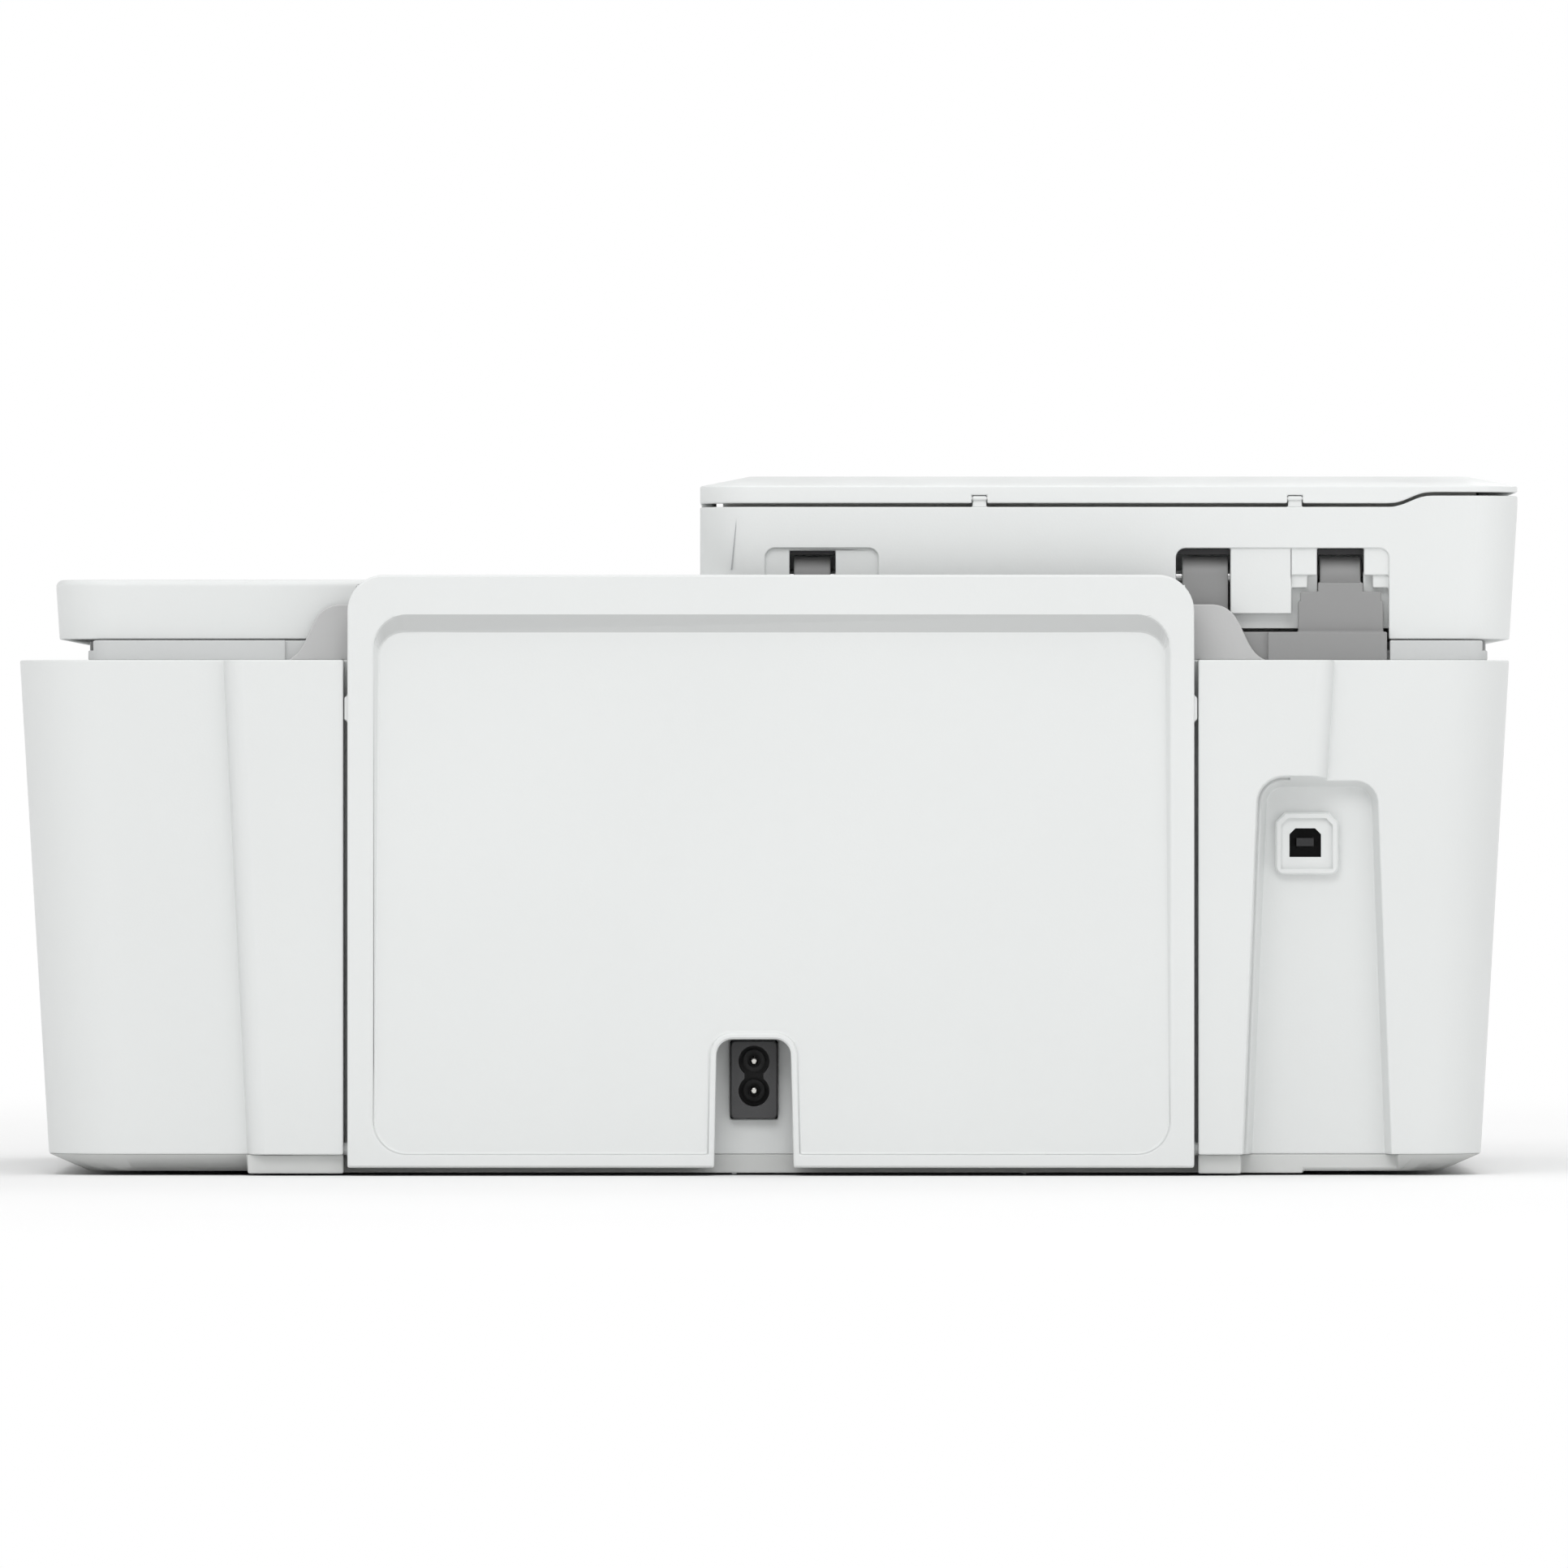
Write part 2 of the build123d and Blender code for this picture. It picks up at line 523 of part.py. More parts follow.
with BuildPart() as control_panel:
    block((60.0, 194.0), (-146.0, -74.0), (DECK_Z - 2.0, DECK_Z + 0.3))
    block((72.0, 136.0), (-138.0, -104.0), (DECK_Z - 0.9, DECK_Z + 1.0), mode=Mode.SUBTRACT)
    for x, y, radius in BUTTON_PLACES.values():
        rod_z(x, y, radius + SLIDE_GAP, (DECK_Z - 3.0, DECK_Z + 1.0), mode=Mode.SUBTRACT)
save(control_panel, "control_panel")

with BuildPart() as display_window:
    block((72.0, 136.0), (-138.0, -104.0), (DECK_Z - 0.9, DECK_Z + 0.4))
save(display_window, "display_window")

for button_name, (x, y, radius) in BUTTON_PLACES.items():
    with BuildPart() as button:
        rod_z(x, y, radius, (164.0, DECK_Z + 1.6))
        fillet(button.edges().group_by(Axis.Z)[-1], radius=0.8)
        rod_z(x, y, radius + 1.2, (164.0, 166.0))
        rod_z(x, y, 1.6, (161.0, 164.0))
    save(button, button_name)

with BuildPart() as scanner_glass:
    block(GLASS_X, GLASS_Y, (GLASS_Z, SCAN_Z))
save(scanner_glass, "scanner_glass")

with BuildPart() as scan_rail:
    rod_y(-73.0, 168.0, 3.0, (-158.0, 135.0))
save(scan_rail, "scan_rail")

with BuildPart() as scan_bar:
    block((-200.0, 8.0), (120.0, 132.0), (181.6, 186.9))
    block((-81.0, -65.0), (120.0, 132.0), (160.0, 181.6))
    rod_y(-73.0, 168.0, 3.0 + RUN_FIT, (119.0, 133.0), mode=Mode.SUBTRACT)
save(scan_bar, "scan_bar")

# Lid ----------------------------------------------------------------------------------------
with BuildPart() as lid_shell:
    outline(SCAN_TOP_X, UPPER_Y, LID_Z[0], UPPER_CORNER)
    extrude(amount=LID_BAND_Z - LID_Z[0])
    outline(SCAN_TOP_X, UPPER_Y, LID_BAND_Z, UPPER_CORNER)
    outline(grown(SCAN_TOP_X, -14.0), grown(UPPER_Y, -14.0), LID_Z[1], 4.0)
    loft(ruled=True)
    block((-203.0, 16.0), (-162.0, 133.0), (LID_Z[0] - 1.0, 195.8), mode=Mode.SUBTRACT)
    # the underside steps up over the raised rim
    block((-230.0, -205.5), (-170.0, 150.0), (LID_Z[0] - 1.0, SCAN_RIM_Z + 1.0), mode=Mode.SUBTRACT)
    add(rim_relief(LID_Z[0] - SCAN_Z, -230.0), mode=Mode.SUBTRACT)
    for x in LID_KNUCKLES_X:
        knuckle_x = grown((x - KNUCKLE_HALF, x + KNUCKLE_HALF), 0.2)
        block(knuckle_x, (138.3, 143.0), (LID_Z[0] - 1.0, LID_PIN[1] + KNUCKLE_R + 0.2), mode=Mode.SUBTRACT)
        rod_x(LID_PIN, LID_PIN_R, (x - 7.0, x + 7.0), mode=Mode.SUBTRACT)
save(lid_shell, "lid_shell")

with BuildPart() as lid_hinge_pins:
    for x in LID_KNUCKLES_X:
        rod_x(LID_PIN, LID_PIN_R, (x - 7.0, x + 7.0))
save(lid_hinge_pins, "lid_hinge_pins")

with BuildPart() as lid_pad:
    block((-202.0, 12.0), (-159.0, 132.0), (SCAN_Z + 0.3, 195.8))
save(lid_pad, "lid_pad")

# Print engine -------------------------------------------------------------------------------
with BuildPart() as chassis:
    block((-SIDE_PLATE_X - 2.0, SIDE_PLATE_X + 2.0), (60.0, 62.0), (84.0, 138.0))
    for side in (-1, 1):
        plate_x = sorted((side * SIDE_PLATE_X, side * (SIDE_PLATE_X + 2.0)))
        block(plate_x, (-80.0, 62.0), (3.7, 138.0))
        for axis in (FEED_AXIS, OUTPUT_AXIS):
            rod_x(axis, SHAFT_R + 2.0, plate_x, mode=Mode.SUBTRACT)
        rod_x(RAIL_AXIS, RAIL_R, plate_x, mode=Mode.SUBTRACT)
    for x in (-PULLEY_X, PULLEY_X):
        rod_y(x, PULLEY_Z, 2.0 + RUN_FIT, (59.0, 63.0), mode=Mode.SUBTRACT)
    # arms that hold the pinch rollers
    block((-112.0, 112.0), (57.0, 60.5), (76.0, 90.0))
    for x in PINCH_X:
        for end in (-11.2, 9.3):
            block((x + end, x + end + 1.9), (49.0, 60.0), (68.0, 79.0))
save(chassis, "chassis")

with BuildPart() as shaft_bushes:
    for side in (-1, 1):
        plate_x = sorted((side * SIDE_PLATE_X, side * (SIDE_PLATE_X + 2.0)))
        for axis in (FEED_AXIS, OUTPUT_AXIS):
            rod_x(axis, SHAFT_R + 2.0, plate_x)
            rod_x(axis, SHAFT_R + RUN_FIT, plate_x, mode=Mode.SUBTRACT)
save(shaft_bushes, "shaft_bushes")

with BuildPart() as carriage_rail:
    rod_x(RAIL_AXIS, RAIL_R, (-SIDE_PLATE_X - 2.0, SIDE_PLATE_X + 2.0))
save(carriage_rail, "carriage_rail")

with BuildPart() as encoder_strip:
    block((-SIDE_PLATE_X, SIDE_PLATE_X), (27.5, 28.0), (112.0, 118.0))
save(encoder_strip, "encoder_strip")


def roller(builder_axis, sleeve_radius, sleeve_spans):
    """A steel shaft through both side plates, with rubber sleeves."""
    rod_x(builder_axis, SHAFT_R, (-SIDE_PLATE_X - 6.0, SIDE_PLATE_X + 6.0))
    for span in sleeve_spans:
        rod_x(builder_axis, sleeve_radius, span)


with BuildPart() as feed_roller:
    roller(FEED_AXIS, FEED_ROLLER_R, [(-116.0, 116.0)])
    rod_x(FEED_AXIS, 16.0, (-172.0, -166.0))
save(feed_roller, "feed_roller")

with BuildPart() as output_roller:
    roller(OUTPUT_AXIS, OUTPUT_ROLLER_R, [(x - 8.0, x + 8.0) for x in (-100, -50, 0, 50, 100)])
    rod_x(OUTPUT_AXIS, 9.0, (-172.0, -166.0))
save(output_roller, "output_roller")

with BuildPart() as pick_roller:
    rod_x(PICK_AXIS, SHAFT_R, (-40.0, 120.0))
    rod_x(PICK_AXIS, PICK_ROLLER_R, (-20.0, 20.0))
    rod_x(PICK_AXIS, 10.0, (108.0, 114.0))
save(pick_roller, "pick_roller")

with BuildPart() as platen:
    block((-118.0, 88.0), (-50.0, 38.0), (56.0, 60.0))
    for row in range(9):
        x = -105.0 + row * 22.0
        block((x, x + 2.0), (-45.0, 33.0), (60.0, 61.5))
    for x in (-116.0, 84.0):
        block((x, x + 2.0), (-40.0, 30.0), (3.7, 56.0))
save(platen, "platen")

with BuildPart() as service_station:
    block((94.0, 150.0), (-46.0, 34.0), (3.7, 56.0))
    block((100.0, 144.0), (-40.0, 28.0), (30.0, 57.0), mode=Mode.SUBTRACT)
    block((104.0, 119.0), (-34.0, 12.0), (29.0, 62.5))
    block((124.0, 139.0), (-34.0, 12.0), (29.0, 62.5))
save(service_station, "service_station")

with BuildPart() as waste_pad:
    block((-170.0, -122.0), (-44.0, 40.0), (3.7, 22.0))
save(waste_pad, "waste_pad")

with BuildPart() as idler_rollers:
    for x in PINCH_X:
        rod_x((FEED_AXIS[0] + 1.0, FEED_AXIS[1] + 11.0), 3.6, (x - 9.0, x + 9.0))
    for x in (-100.0, -50.0, 0.0, 50.0, 100.0):
        rod_x((OUTPUT_AXIS[0], OUTPUT_AXIS[1] + 11.2), 5.0, (x - 1.0, x + 1.0))
    rod_x((OUTPUT_AXIS[0], OUTPUT_AXIS[1] + 11.2), 1.5, (-SIDE_PLATE_X, SIDE_PLATE_X))
save(idler_rollers, "idler_rollers")

with BuildPart() as timing_belt:
    with BuildSketch(Plane.XZ.offset(-PULLEY_Y[0] - 0.5)):
        with Locations((0.0, PULLEY_Z)):
            SlotCenterToCenter(2 * PULLEY_X, 2 * (PULLEY_R + 0.3 + BELT_THICK))
            SlotCenterToCenter(2 * PULLEY_X, 2 * (PULLEY_R + 0.3), mode=Mode.SUBTRACT)
    extrude(amount=-(PULLEY_Y[1] - PULLEY_Y[0] - 1.0))
save(timing_belt, "timing_belt")

for pulley_name, x in (("motor_pulley", PULLEY_X), ("idler_pulley", -PULLEY_X)):
    with BuildPart() as pulley:
        rod_y(x, PULLEY_Z, PULLEY_R, PULLEY_Y)
        rod_y(x, PULLEY_Z, 2.0, (PULLEY_Y[1], 66.0))
    save(pulley, pulley_name)

with BuildPart() as carriage_motor:
    rod_y(PULLEY_X, PULLEY_Z, 14.0, (62.0, 92.0))
    rod_y(PULLEY_X, PULLEY_Z, 2.0 + RUN_FIT, (62.0, 68.0), mode=Mode.SUBTRACT)
save(carriage_motor, "carriage_motor")

with BuildPart() as feed_motor:
    rod_x((76.0, 40.0), 15.0, (-SIDE_PLATE_X + 4.0, -SIDE_PLATE_X + 36.0))
    block((-SIDE_PLATE_X + 8.0, -SIDE_PLATE_X + 32.0), (68.0, 84.0), (3.7, 28.0))
save(feed_motor, "feed_motor")

with BuildPart() as carriage_body:
    block((CARRIAGE_X - 40.0, CARRIAGE_X + 40.0), (-40.0, 26.0), (66.0, 100.0))
    block((CARRIAGE_X - 40.0, CARRIAGE_X + 40.0), (20.0, 26.0), (66.0, 126.0))
    block((CARRIAGE_X - 37.0, CARRIAGE_X - 1.0), (-37.0, 20.0), (69.0, 127.0), mode=Mode.SUBTRACT)
    block((CARRIAGE_X + 1.0, CARRIAGE_X + 37.0), (-37.0, 20.0), (69.0, 127.0), mode=Mode.SUBTRACT)
    block((CARRIAGE_X - 30.0, CARRIAGE_X + 30.0), (26.0, 48.0), (95.0, 110.0))
    rod_x(RAIL_AXIS, RAIL_R + RUN_FIT, (CARRIAGE_X - 41.0, CARRIAGE_X + 41.0), mode=Mode.SUBTRACT)
    block((CARRIAGE_X - 12.0, CARRIAGE_X + 12.0), (45.0, 56.0), (108.0, PULLEY_Z - PULLEY_R - 1.8))
save(carriage_body, "carriage_body")

for cartridge_name, x in (("cartridge_black", CARRIAGE_X + 19.0), ("cartridge_color", CARRIAGE_X - 19.0)):
    with BuildPart() as cartridge:
        block((x - 17.0, x + 17.0), (-36.0, 18.0), (69.0, 118.0))
        fillet(cartridge.edges().filter_by(Axis.Z), radius=2.0)
    save(cartridge, cartridge_name)

# Output tray --------------------------------------------------------------------------------
with BuildPart() as output_tray:
    block((-124.0, 124.0), (-163.0, -48.0), (24.0, 31.0))
    block((-124.0, 124.0), (-163.0, -160.0), (24.0, 44.0))
    block((-61.0, 61.0), (-164.0, -52.0), (25.6, 28.8), mode=Mode.SUBTRACT)
save(output_tray, "output_tray")

with BuildPart() as output_extender:
    block((-60.6, 60.6), (-163.0, -54.0), (26.0, 28.4))
    block((-20.0, 20.0), (-165.0, -163.3), (24.5, 34.0))
    block((-20.0, 20.0), (-163.4, -162.0), (26.0, 28.4))
save(output_extender, "output_extender")

with BuildPart() as tray_rails:
    for side in (-1, 1):
        block(sorted((side * 124.4, side * 128.0)), (-137.0, -48.0), (3.7, 36.0))
        block(sorted((side * 110.0, side * 128.0)), (-137.0, -48.0), (20.0, 23.6))
save(tray_rails, "tray_rails")

# Electronics --------------------------------------------------------------------------------
with BuildPart() as power_supply:
    block((-40.0, 60.0), (66.0, 134.0), (3.7, 50.0))
save(power_supply, "power_supply")

with BuildPart() as power_inlet:
    block(INLET_X, (134.0, 154.5), INLET_Z)
    fillet(power_inlet.edges().filter_by(Axis.Y), radius=1.6)
    chamfer(power_inlet.faces().sort_by(Axis.Y)[-1].edges(), length=0.4)
    with BuildSketch(Plane.XZ.offset(-154.5)):
        for z in INLET_PIN_Z:
            with Locations((INLET_PORT_X, z)):
                Circle(4.4)
        with Locations((INLET_PORT_X, sum(INLET_PIN_Z) / 2)):
            Rectangle(5.4, 8.5)
    extrude(amount=16.0, mode=Mode.SUBTRACT)
    # a collar around the foot of each pin
    for z in INLET_PIN_Z:
        rod_y(INLET_PORT_X, z, 3.1, (138.0, 141.5))
        rod_y(INLET_PORT_X, z, 1.9, (139.0, 142.0), mode=Mode.SUBTRACT)
        rod_y(INLET_PORT_X, z, INLET_PIN_R, (134.0, 140.0), mode=Mode.SUBTRACT)
save(power_inlet, "power_inlet")

with BuildPart() as inlet_pins:
    for z in INLET_PIN_Z:
        rod_y(INLET_PORT_X, z, INLET_PIN_R, (134.0, 150.0))
    fillet(inlet_pins.faces().group_by(Axis.Y)[-1].edges(), radius=0.8)
save(inlet_pins, "inlet_pins")

with BuildPart() as main_board:
    block((-198.0, -143.0), (68.0, 146.0), (86.4, 88.0))
    for x, y in ((-176.0, 98.0), (-176.0, 134.0), (-150.0, 98.0)):
        rod_z(x, y, 3.0, (3.7, 86.4))
save(main_board, "main_board")

def port_outline(face_y, x_span, z_span, cut):
    """A rectangle with its two top corners cut off, on a plane across Y."""
    with BuildSketch(Plane.XZ.offset(-face_y)) as profile:
        with Locations((sum(x_span) / 2, sum(z_span) / 2)):
            Rectangle(x_span[1] - x_span[0], z_span[1] - z_span[0])
        chamfer(vertices().group_by(Axis.Y)[-1], length=cut)
    add(profile.sketch)


with BuildPart() as usb_shell:
    block((-158.65, -146.65), (137.0, USB_FACE_Y - 0.8), (89.2, 100.2))
    port_outline(141.0, USB_PORT_X, USB_PORT_Z, USB_PORT_CUT)
    extrude(amount=15.0, dir=(0, 1, 0), mode=Mode.SUBTRACT)
    block((-155.0, -150.0), (138.0, 146.0), (88.0, 89.2))
save(usb_shell, "usb_shell")

with BuildPart() as usb_tongue:
    block((-155.1, -150.2), (141.0, 151.0), (93.7, 96.0))
save(usb_tongue, "usb_tongue")

with BuildPart() as usb_bezel:
    block(USB_BEZEL_X, (DOOR_WALL_Y, USB_FACE_Y + 1.2), USB_BEZEL_Z)
    chamfer(usb_bezel.edges().filter_by(Axis.Y).group_by(Axis.Z)[-1], length=2.7)
    fillet(usb_bezel.edges().filter_by(Axis.Y).group_by(Axis.Z)[0], radius=2.3)
    chamfer(usb_bezel.faces().sort_by(Axis.Y)[-1].edges(), length=0.5)
    port_outline(USB_FACE_Y, grown(USB_BEZEL_X, -1.6), grown(USB_BEZEL_Z, -1.6), 2.0)
    extrude(amount=5.0, dir=(0, 1, 0), mode=Mode.SUBTRACT)
    port_outline(150.0, USB_PORT_X, USB_PORT_Z, USB_PORT_CUT)
    extrude(amount=10.0, dir=(0, 1, 0), mode=Mode.SUBTRACT)
    block((-158.65, -146.65), (150.0, USB_FACE_Y - 0.8), (89.2, 100.2), mode=Mode.SUBTRACT)
save(usb_bezel, "usb_bezel")

with BuildPart() as case_screws:
    for x, y in ((-135.0, 110.0), (150.0, 110.0), (-150.0, -100.0), (150.0, -100.0)):
        rod_z(x, y, 2.5, (PAN_Z + WALL, PAN_Z + WALL + 2.0))
save(case_screws, "case_screws")
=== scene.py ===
"""The look of an all-in-one inkjet printer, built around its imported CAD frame."""

import json
import math

import bpy
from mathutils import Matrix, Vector


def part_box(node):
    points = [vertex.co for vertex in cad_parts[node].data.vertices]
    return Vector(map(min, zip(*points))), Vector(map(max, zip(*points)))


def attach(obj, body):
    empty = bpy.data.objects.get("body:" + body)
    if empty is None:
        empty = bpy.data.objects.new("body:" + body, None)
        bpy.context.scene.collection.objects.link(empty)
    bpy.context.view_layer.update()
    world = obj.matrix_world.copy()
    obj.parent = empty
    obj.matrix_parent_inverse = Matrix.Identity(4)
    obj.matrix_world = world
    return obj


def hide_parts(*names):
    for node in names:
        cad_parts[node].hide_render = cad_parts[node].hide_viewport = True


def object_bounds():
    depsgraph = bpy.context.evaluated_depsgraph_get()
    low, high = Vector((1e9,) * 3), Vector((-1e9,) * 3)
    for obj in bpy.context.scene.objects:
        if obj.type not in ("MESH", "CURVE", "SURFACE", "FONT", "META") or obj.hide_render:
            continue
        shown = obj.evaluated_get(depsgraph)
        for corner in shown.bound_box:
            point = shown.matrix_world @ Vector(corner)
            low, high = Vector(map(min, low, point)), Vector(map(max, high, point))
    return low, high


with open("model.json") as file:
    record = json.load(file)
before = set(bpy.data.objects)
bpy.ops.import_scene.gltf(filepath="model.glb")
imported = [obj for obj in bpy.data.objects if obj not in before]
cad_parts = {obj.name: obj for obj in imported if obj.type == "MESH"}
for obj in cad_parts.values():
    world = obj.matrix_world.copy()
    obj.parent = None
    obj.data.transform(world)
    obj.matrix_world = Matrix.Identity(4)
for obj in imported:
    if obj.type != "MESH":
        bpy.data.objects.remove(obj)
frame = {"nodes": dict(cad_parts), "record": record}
cad_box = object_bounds()

MM = 0.001
FINE_GRAIN = 0.00008
AXIS_TURNS = {"X": (0, math.radians(90), 0), "Y": (math.radians(90), 0, 0), "Z": (0, 0, 0)}


# Camera, light and stage ---------------------------------------------------------------------
CAMERA_DISTANCE = 6.0
FIELD_WIDTH = 0.4456
CAMERA_HEIGHT = 0.1114
CAMERA_SIDE = -0.0042
SENSOR_WIDTH = 36.0


def add_camera():
    """A long lens square to the back of the printer, level, at mid height."""
    back_y = cad_box[1][1]
    camera_data = bpy.data.cameras.new("rear_camera")
    camera_data.sensor_width = SENSOR_WIDTH
    camera_data.lens = SENSOR_WIDTH * CAMERA_DISTANCE / FIELD_WIDTH
    camera = bpy.data.objects.new("rear_camera", camera_data)
    camera.location = (CAMERA_SIDE, back_y + CAMERA_DISTANCE, CAMERA_HEIGHT)
    camera.rotation_euler = (math.radians(90), 0, math.radians(180))
    bpy.context.scene.collection.objects.link(camera)
    bpy.context.scene.camera = camera


def add_softbox(name, place, aim, size, power):
    """A square studio light that points at a place on the printer."""
    light = bpy.data.lights.new(name, "AREA")
    light.shape = "RECTANGLE"
    light.size = size[0]
    light.size_y = size[1]
    light.energy = power
    lamp = bpy.data.objects.new(name, light)
    lamp.location = place
    lamp.rotation_euler = (Vector(aim) - Vector(place)).to_track_quat("-Z", "Y").to_euler()
    bpy.context.scene.collection.objects.link(lamp)


def add_backdrop_world():
    """A studio surround: white around the horizon, dimmer overhead, so panels keep soft shading."""
    world = bpy.data.worlds.new("studio")
    world.use_nodes = True
    tree = world.node_tree
    background = tree.nodes["Background"]
    coordinates = tree.nodes.new("ShaderNodeTexCoord")
    split = tree.nodes.new("ShaderNodeSeparateXYZ")
    tree.links.new(coordinates.outputs["Generated"], split.inputs["Vector"])
    ramp = tree.nodes.new("ShaderNodeValToRGB")
    ramp.color_ramp.interpolation = "EASE"
    for stop, level in ((0.0, 1.0), (0.1, 1.0), (0.3, 0.4), (1.0, 0.55)):
        element = ramp.color_ramp.elements[0] if stop == 0.0 else ramp.color_ramp.elements.new(stop)
        element.color = (level, level, level, 1.0)
    tree.links.new(split.outputs["Z"], ramp.inputs["Fac"])
    tree.links.new(ramp.outputs["Color"], background.inputs["Color"])
    bpy.context.scene.world = world


def add_stage():
    """A pale floor, the surround and soft lights on every side."""
    deselect_all()
    bpy.ops.mesh.primitive_plane_add(size=3.2, location=(0, 0, 0))
    floor = bpy.context.active_object
    floor.name = "studio_floor"
    floor.data.materials.append(floor_material())
    add_backdrop_world()
    bpy.context.scene.view_settings.view_transform = "Standard"
    middle = (0, 0, 0.1)
    add_softbox("rear_key", (0.5, 2.9, 2.5), middle, (2.6, 1.6), 36.5)
    add_softbox("rear_fill", (-1.9, 2.4, 0.9), middle, (1.4, 1.4), 6.0)
    add_softbox("top_light", (0.0, 0.2, 2.6), middle, (2.0, 2.0), 9.0)
    add_softbox("front_key", (-1.3, -2.6, 2.1), middle, (2.2, 1.4), 22.0)


# Materials -----------------------------------------------------------------------------------
def new_material(name, colour, roughness, metallic=0.0):
    """A Principled material and its node tree."""
    material = bpy.data.materials.new(name)
    material.use_nodes = True
    shader = material.node_tree.nodes["Principled BSDF"]
    shader.inputs["Base Color"].default_value = (*colour, 1.0)
    shader.inputs["Roughness"].default_value = roughness
    shader.inputs["Metallic"].default_value = metallic
    return material, material.node_tree, shader


def object_coordinates(tree, stretch=(1.0, 1.0, 1.0)):
    """Object coordinates through a mapping that can stretch a pattern."""
    coordinates = tree.nodes.new("ShaderNodeTexCoord")
    mapping = tree.nodes.new("ShaderNodeMapping")
    mapping.inputs["Scale"].default_value = stretch
    tree.links.new(coordinates.outputs["Object"], mapping.inputs["Vector"])
    return mapping.outputs["Vector"]


def noise(tree, vector, scale, detail=3.0):
    """A noise texture that reads the given coordinates."""
    texture = tree.nodes.new("ShaderNodeTexNoise")
    texture.inputs["Scale"].default_value = scale
    texture.inputs["Detail"].default_value = detail
    tree.links.new(vector, texture.inputs["Vector"])
    return texture.outputs["Fac"]


def colour_between(tree, factor, first, second, shader):
    """The base colour drifts between two close colours."""
    mix = tree.nodes.new("ShaderNodeMix")
    mix.data_type = "RGBA"
    mix.inputs["A"].default_value = (*first, 1.0)
    mix.inputs["B"].default_value = (*second, 1.0)
    tree.links.new(factor, mix.inputs["Factor"])
    tree.links.new(mix.outputs["Result"], shader.inputs["Base Color"])


def roughness_between(tree, factor, low, high, shader):
    """The gloss drifts between two levels."""
    spread = tree.nodes.new("ShaderNodeMapRange")
    spread.inputs["From Min"].default_value = 0.3
    spread.inputs["From Max"].default_value = 0.7
    spread.inputs["To Min"].default_value = low
    spread.inputs["To Max"].default_value = high
    tree.links.new(factor, spread.inputs["Value"])
    tree.links.new(spread.outputs["Result"], shader.inputs["Roughness"])


def bumped(tree, height, strength, distance, shader):
    """Fine relief on the surface."""
    bump = tree.nodes.new("ShaderNodeBump")
    bump.inputs["Strength"].default_value = strength
    bump.inputs["Distance"].default_value = distance
    tree.links.new(height, bump.inputs["Height"])
    tree.links.new(bump.outputs["Normal"], shader.inputs["Normal"])


def painted_shade_underneath(tree, depth, shader):
    """Painted shade: faces that look down take a darker colour, standing in for the shade under a rim."""
    geometry = tree.nodes.new("ShaderNodeNewGeometry")
    facing = tree.nodes.new("ShaderNodeVectorTransform")
    facing.vector_type = "NORMAL"
    facing.convert_from = "WORLD"
    facing.convert_to = "OBJECT"
    split = tree.nodes.new("ShaderNodeSeparateXYZ")
    tree.links.new(geometry.outputs["True Normal"], facing.inputs["Vector"])
    tree.links.new(facing.outputs["Vector"], split.inputs["Vector"])
    shade = tree.nodes.new("ShaderNodeMapRange")
    shade.inputs["From Min"].default_value = -0.45
    shade.inputs["From Max"].default_value = -0.15
    shade.inputs["To Min"].default_value = 1.0 - depth
    shade.inputs["To Max"].default_value = 1.0
    tree.links.new(split.outputs["Z"], shade.inputs["Value"])
    darken = tree.nodes.new("ShaderNodeVectorMath")
    darken.operation = "SCALE"
    source = shader.inputs["Base Color"].links[0].from_socket
    tree.links.new(source, darken.inputs["Vector"])
    tree.links.new(shade.outputs["Result"], darken.inputs["Scale"])
    tree.links.new(darken.outputs["Vector"], shader.inputs["Base Color"])


def toned(colour, factor):
    """A colour made lighter or darker."""
    return tuple(min(1.0, channel * factor) for channel in colour)


def moulded_plastic(name, colour, roughness=0.42, grain=1500.0, relief=0.25, painted_shade_below=0.0):
    """Injection moulded plastic: spark-eroded grain, slow drifts of tone and gloss, and painted shade on
    faces that look down when asked.
    """
    material, tree, shader = new_material(name, colour, roughness)
    vector = object_coordinates(tree)
    slow = noise(tree, vector, 9.0, 2.0)
    colour_between(tree, slow, toned(colour, 0.97), toned(colour, 1.03), shader)
    # Optional painted shade: faces that look down are darkened in the colour itself.
    if painted_shade_below:
        painted_shade_underneath(tree, painted_shade_below, shader)
    roughness_between(tree, noise(tree, vector, 35.0), roughness - 0.05, roughness + 0.07, shader)
    bumped(tree, noise(tree, vector, grain, 2.0), relief, FINE_GRAIN, shader)
    shader.inputs["Specular IOR Level"].default_value = 0.45
    return material


def gloss_plastic(name, colour, roughness=0.12):
    """Polished plastic with the faintest orange peel and a few dull patches."""
    material, tree, shader = new_material(name, colour, roughness)
    vector = object_coordinates(tree)
    colour_between(tree, noise(tree, vector, 14.0), toned(colour, 0.94), toned(colour, 1.08), shader)
    roughness_between(tree, noise(tree, vector, 60.0), roughness * 0.7, roughness * 1.8, shader)
    bumped(tree, noise(tree, vector, 220.0, 1.0), 0.05, 0.0002, shader)
    shader.inputs["Coat Weight"].default_value = 0.3
    shader.inputs["Coat Roughness"].default_value = 0.05
    return material


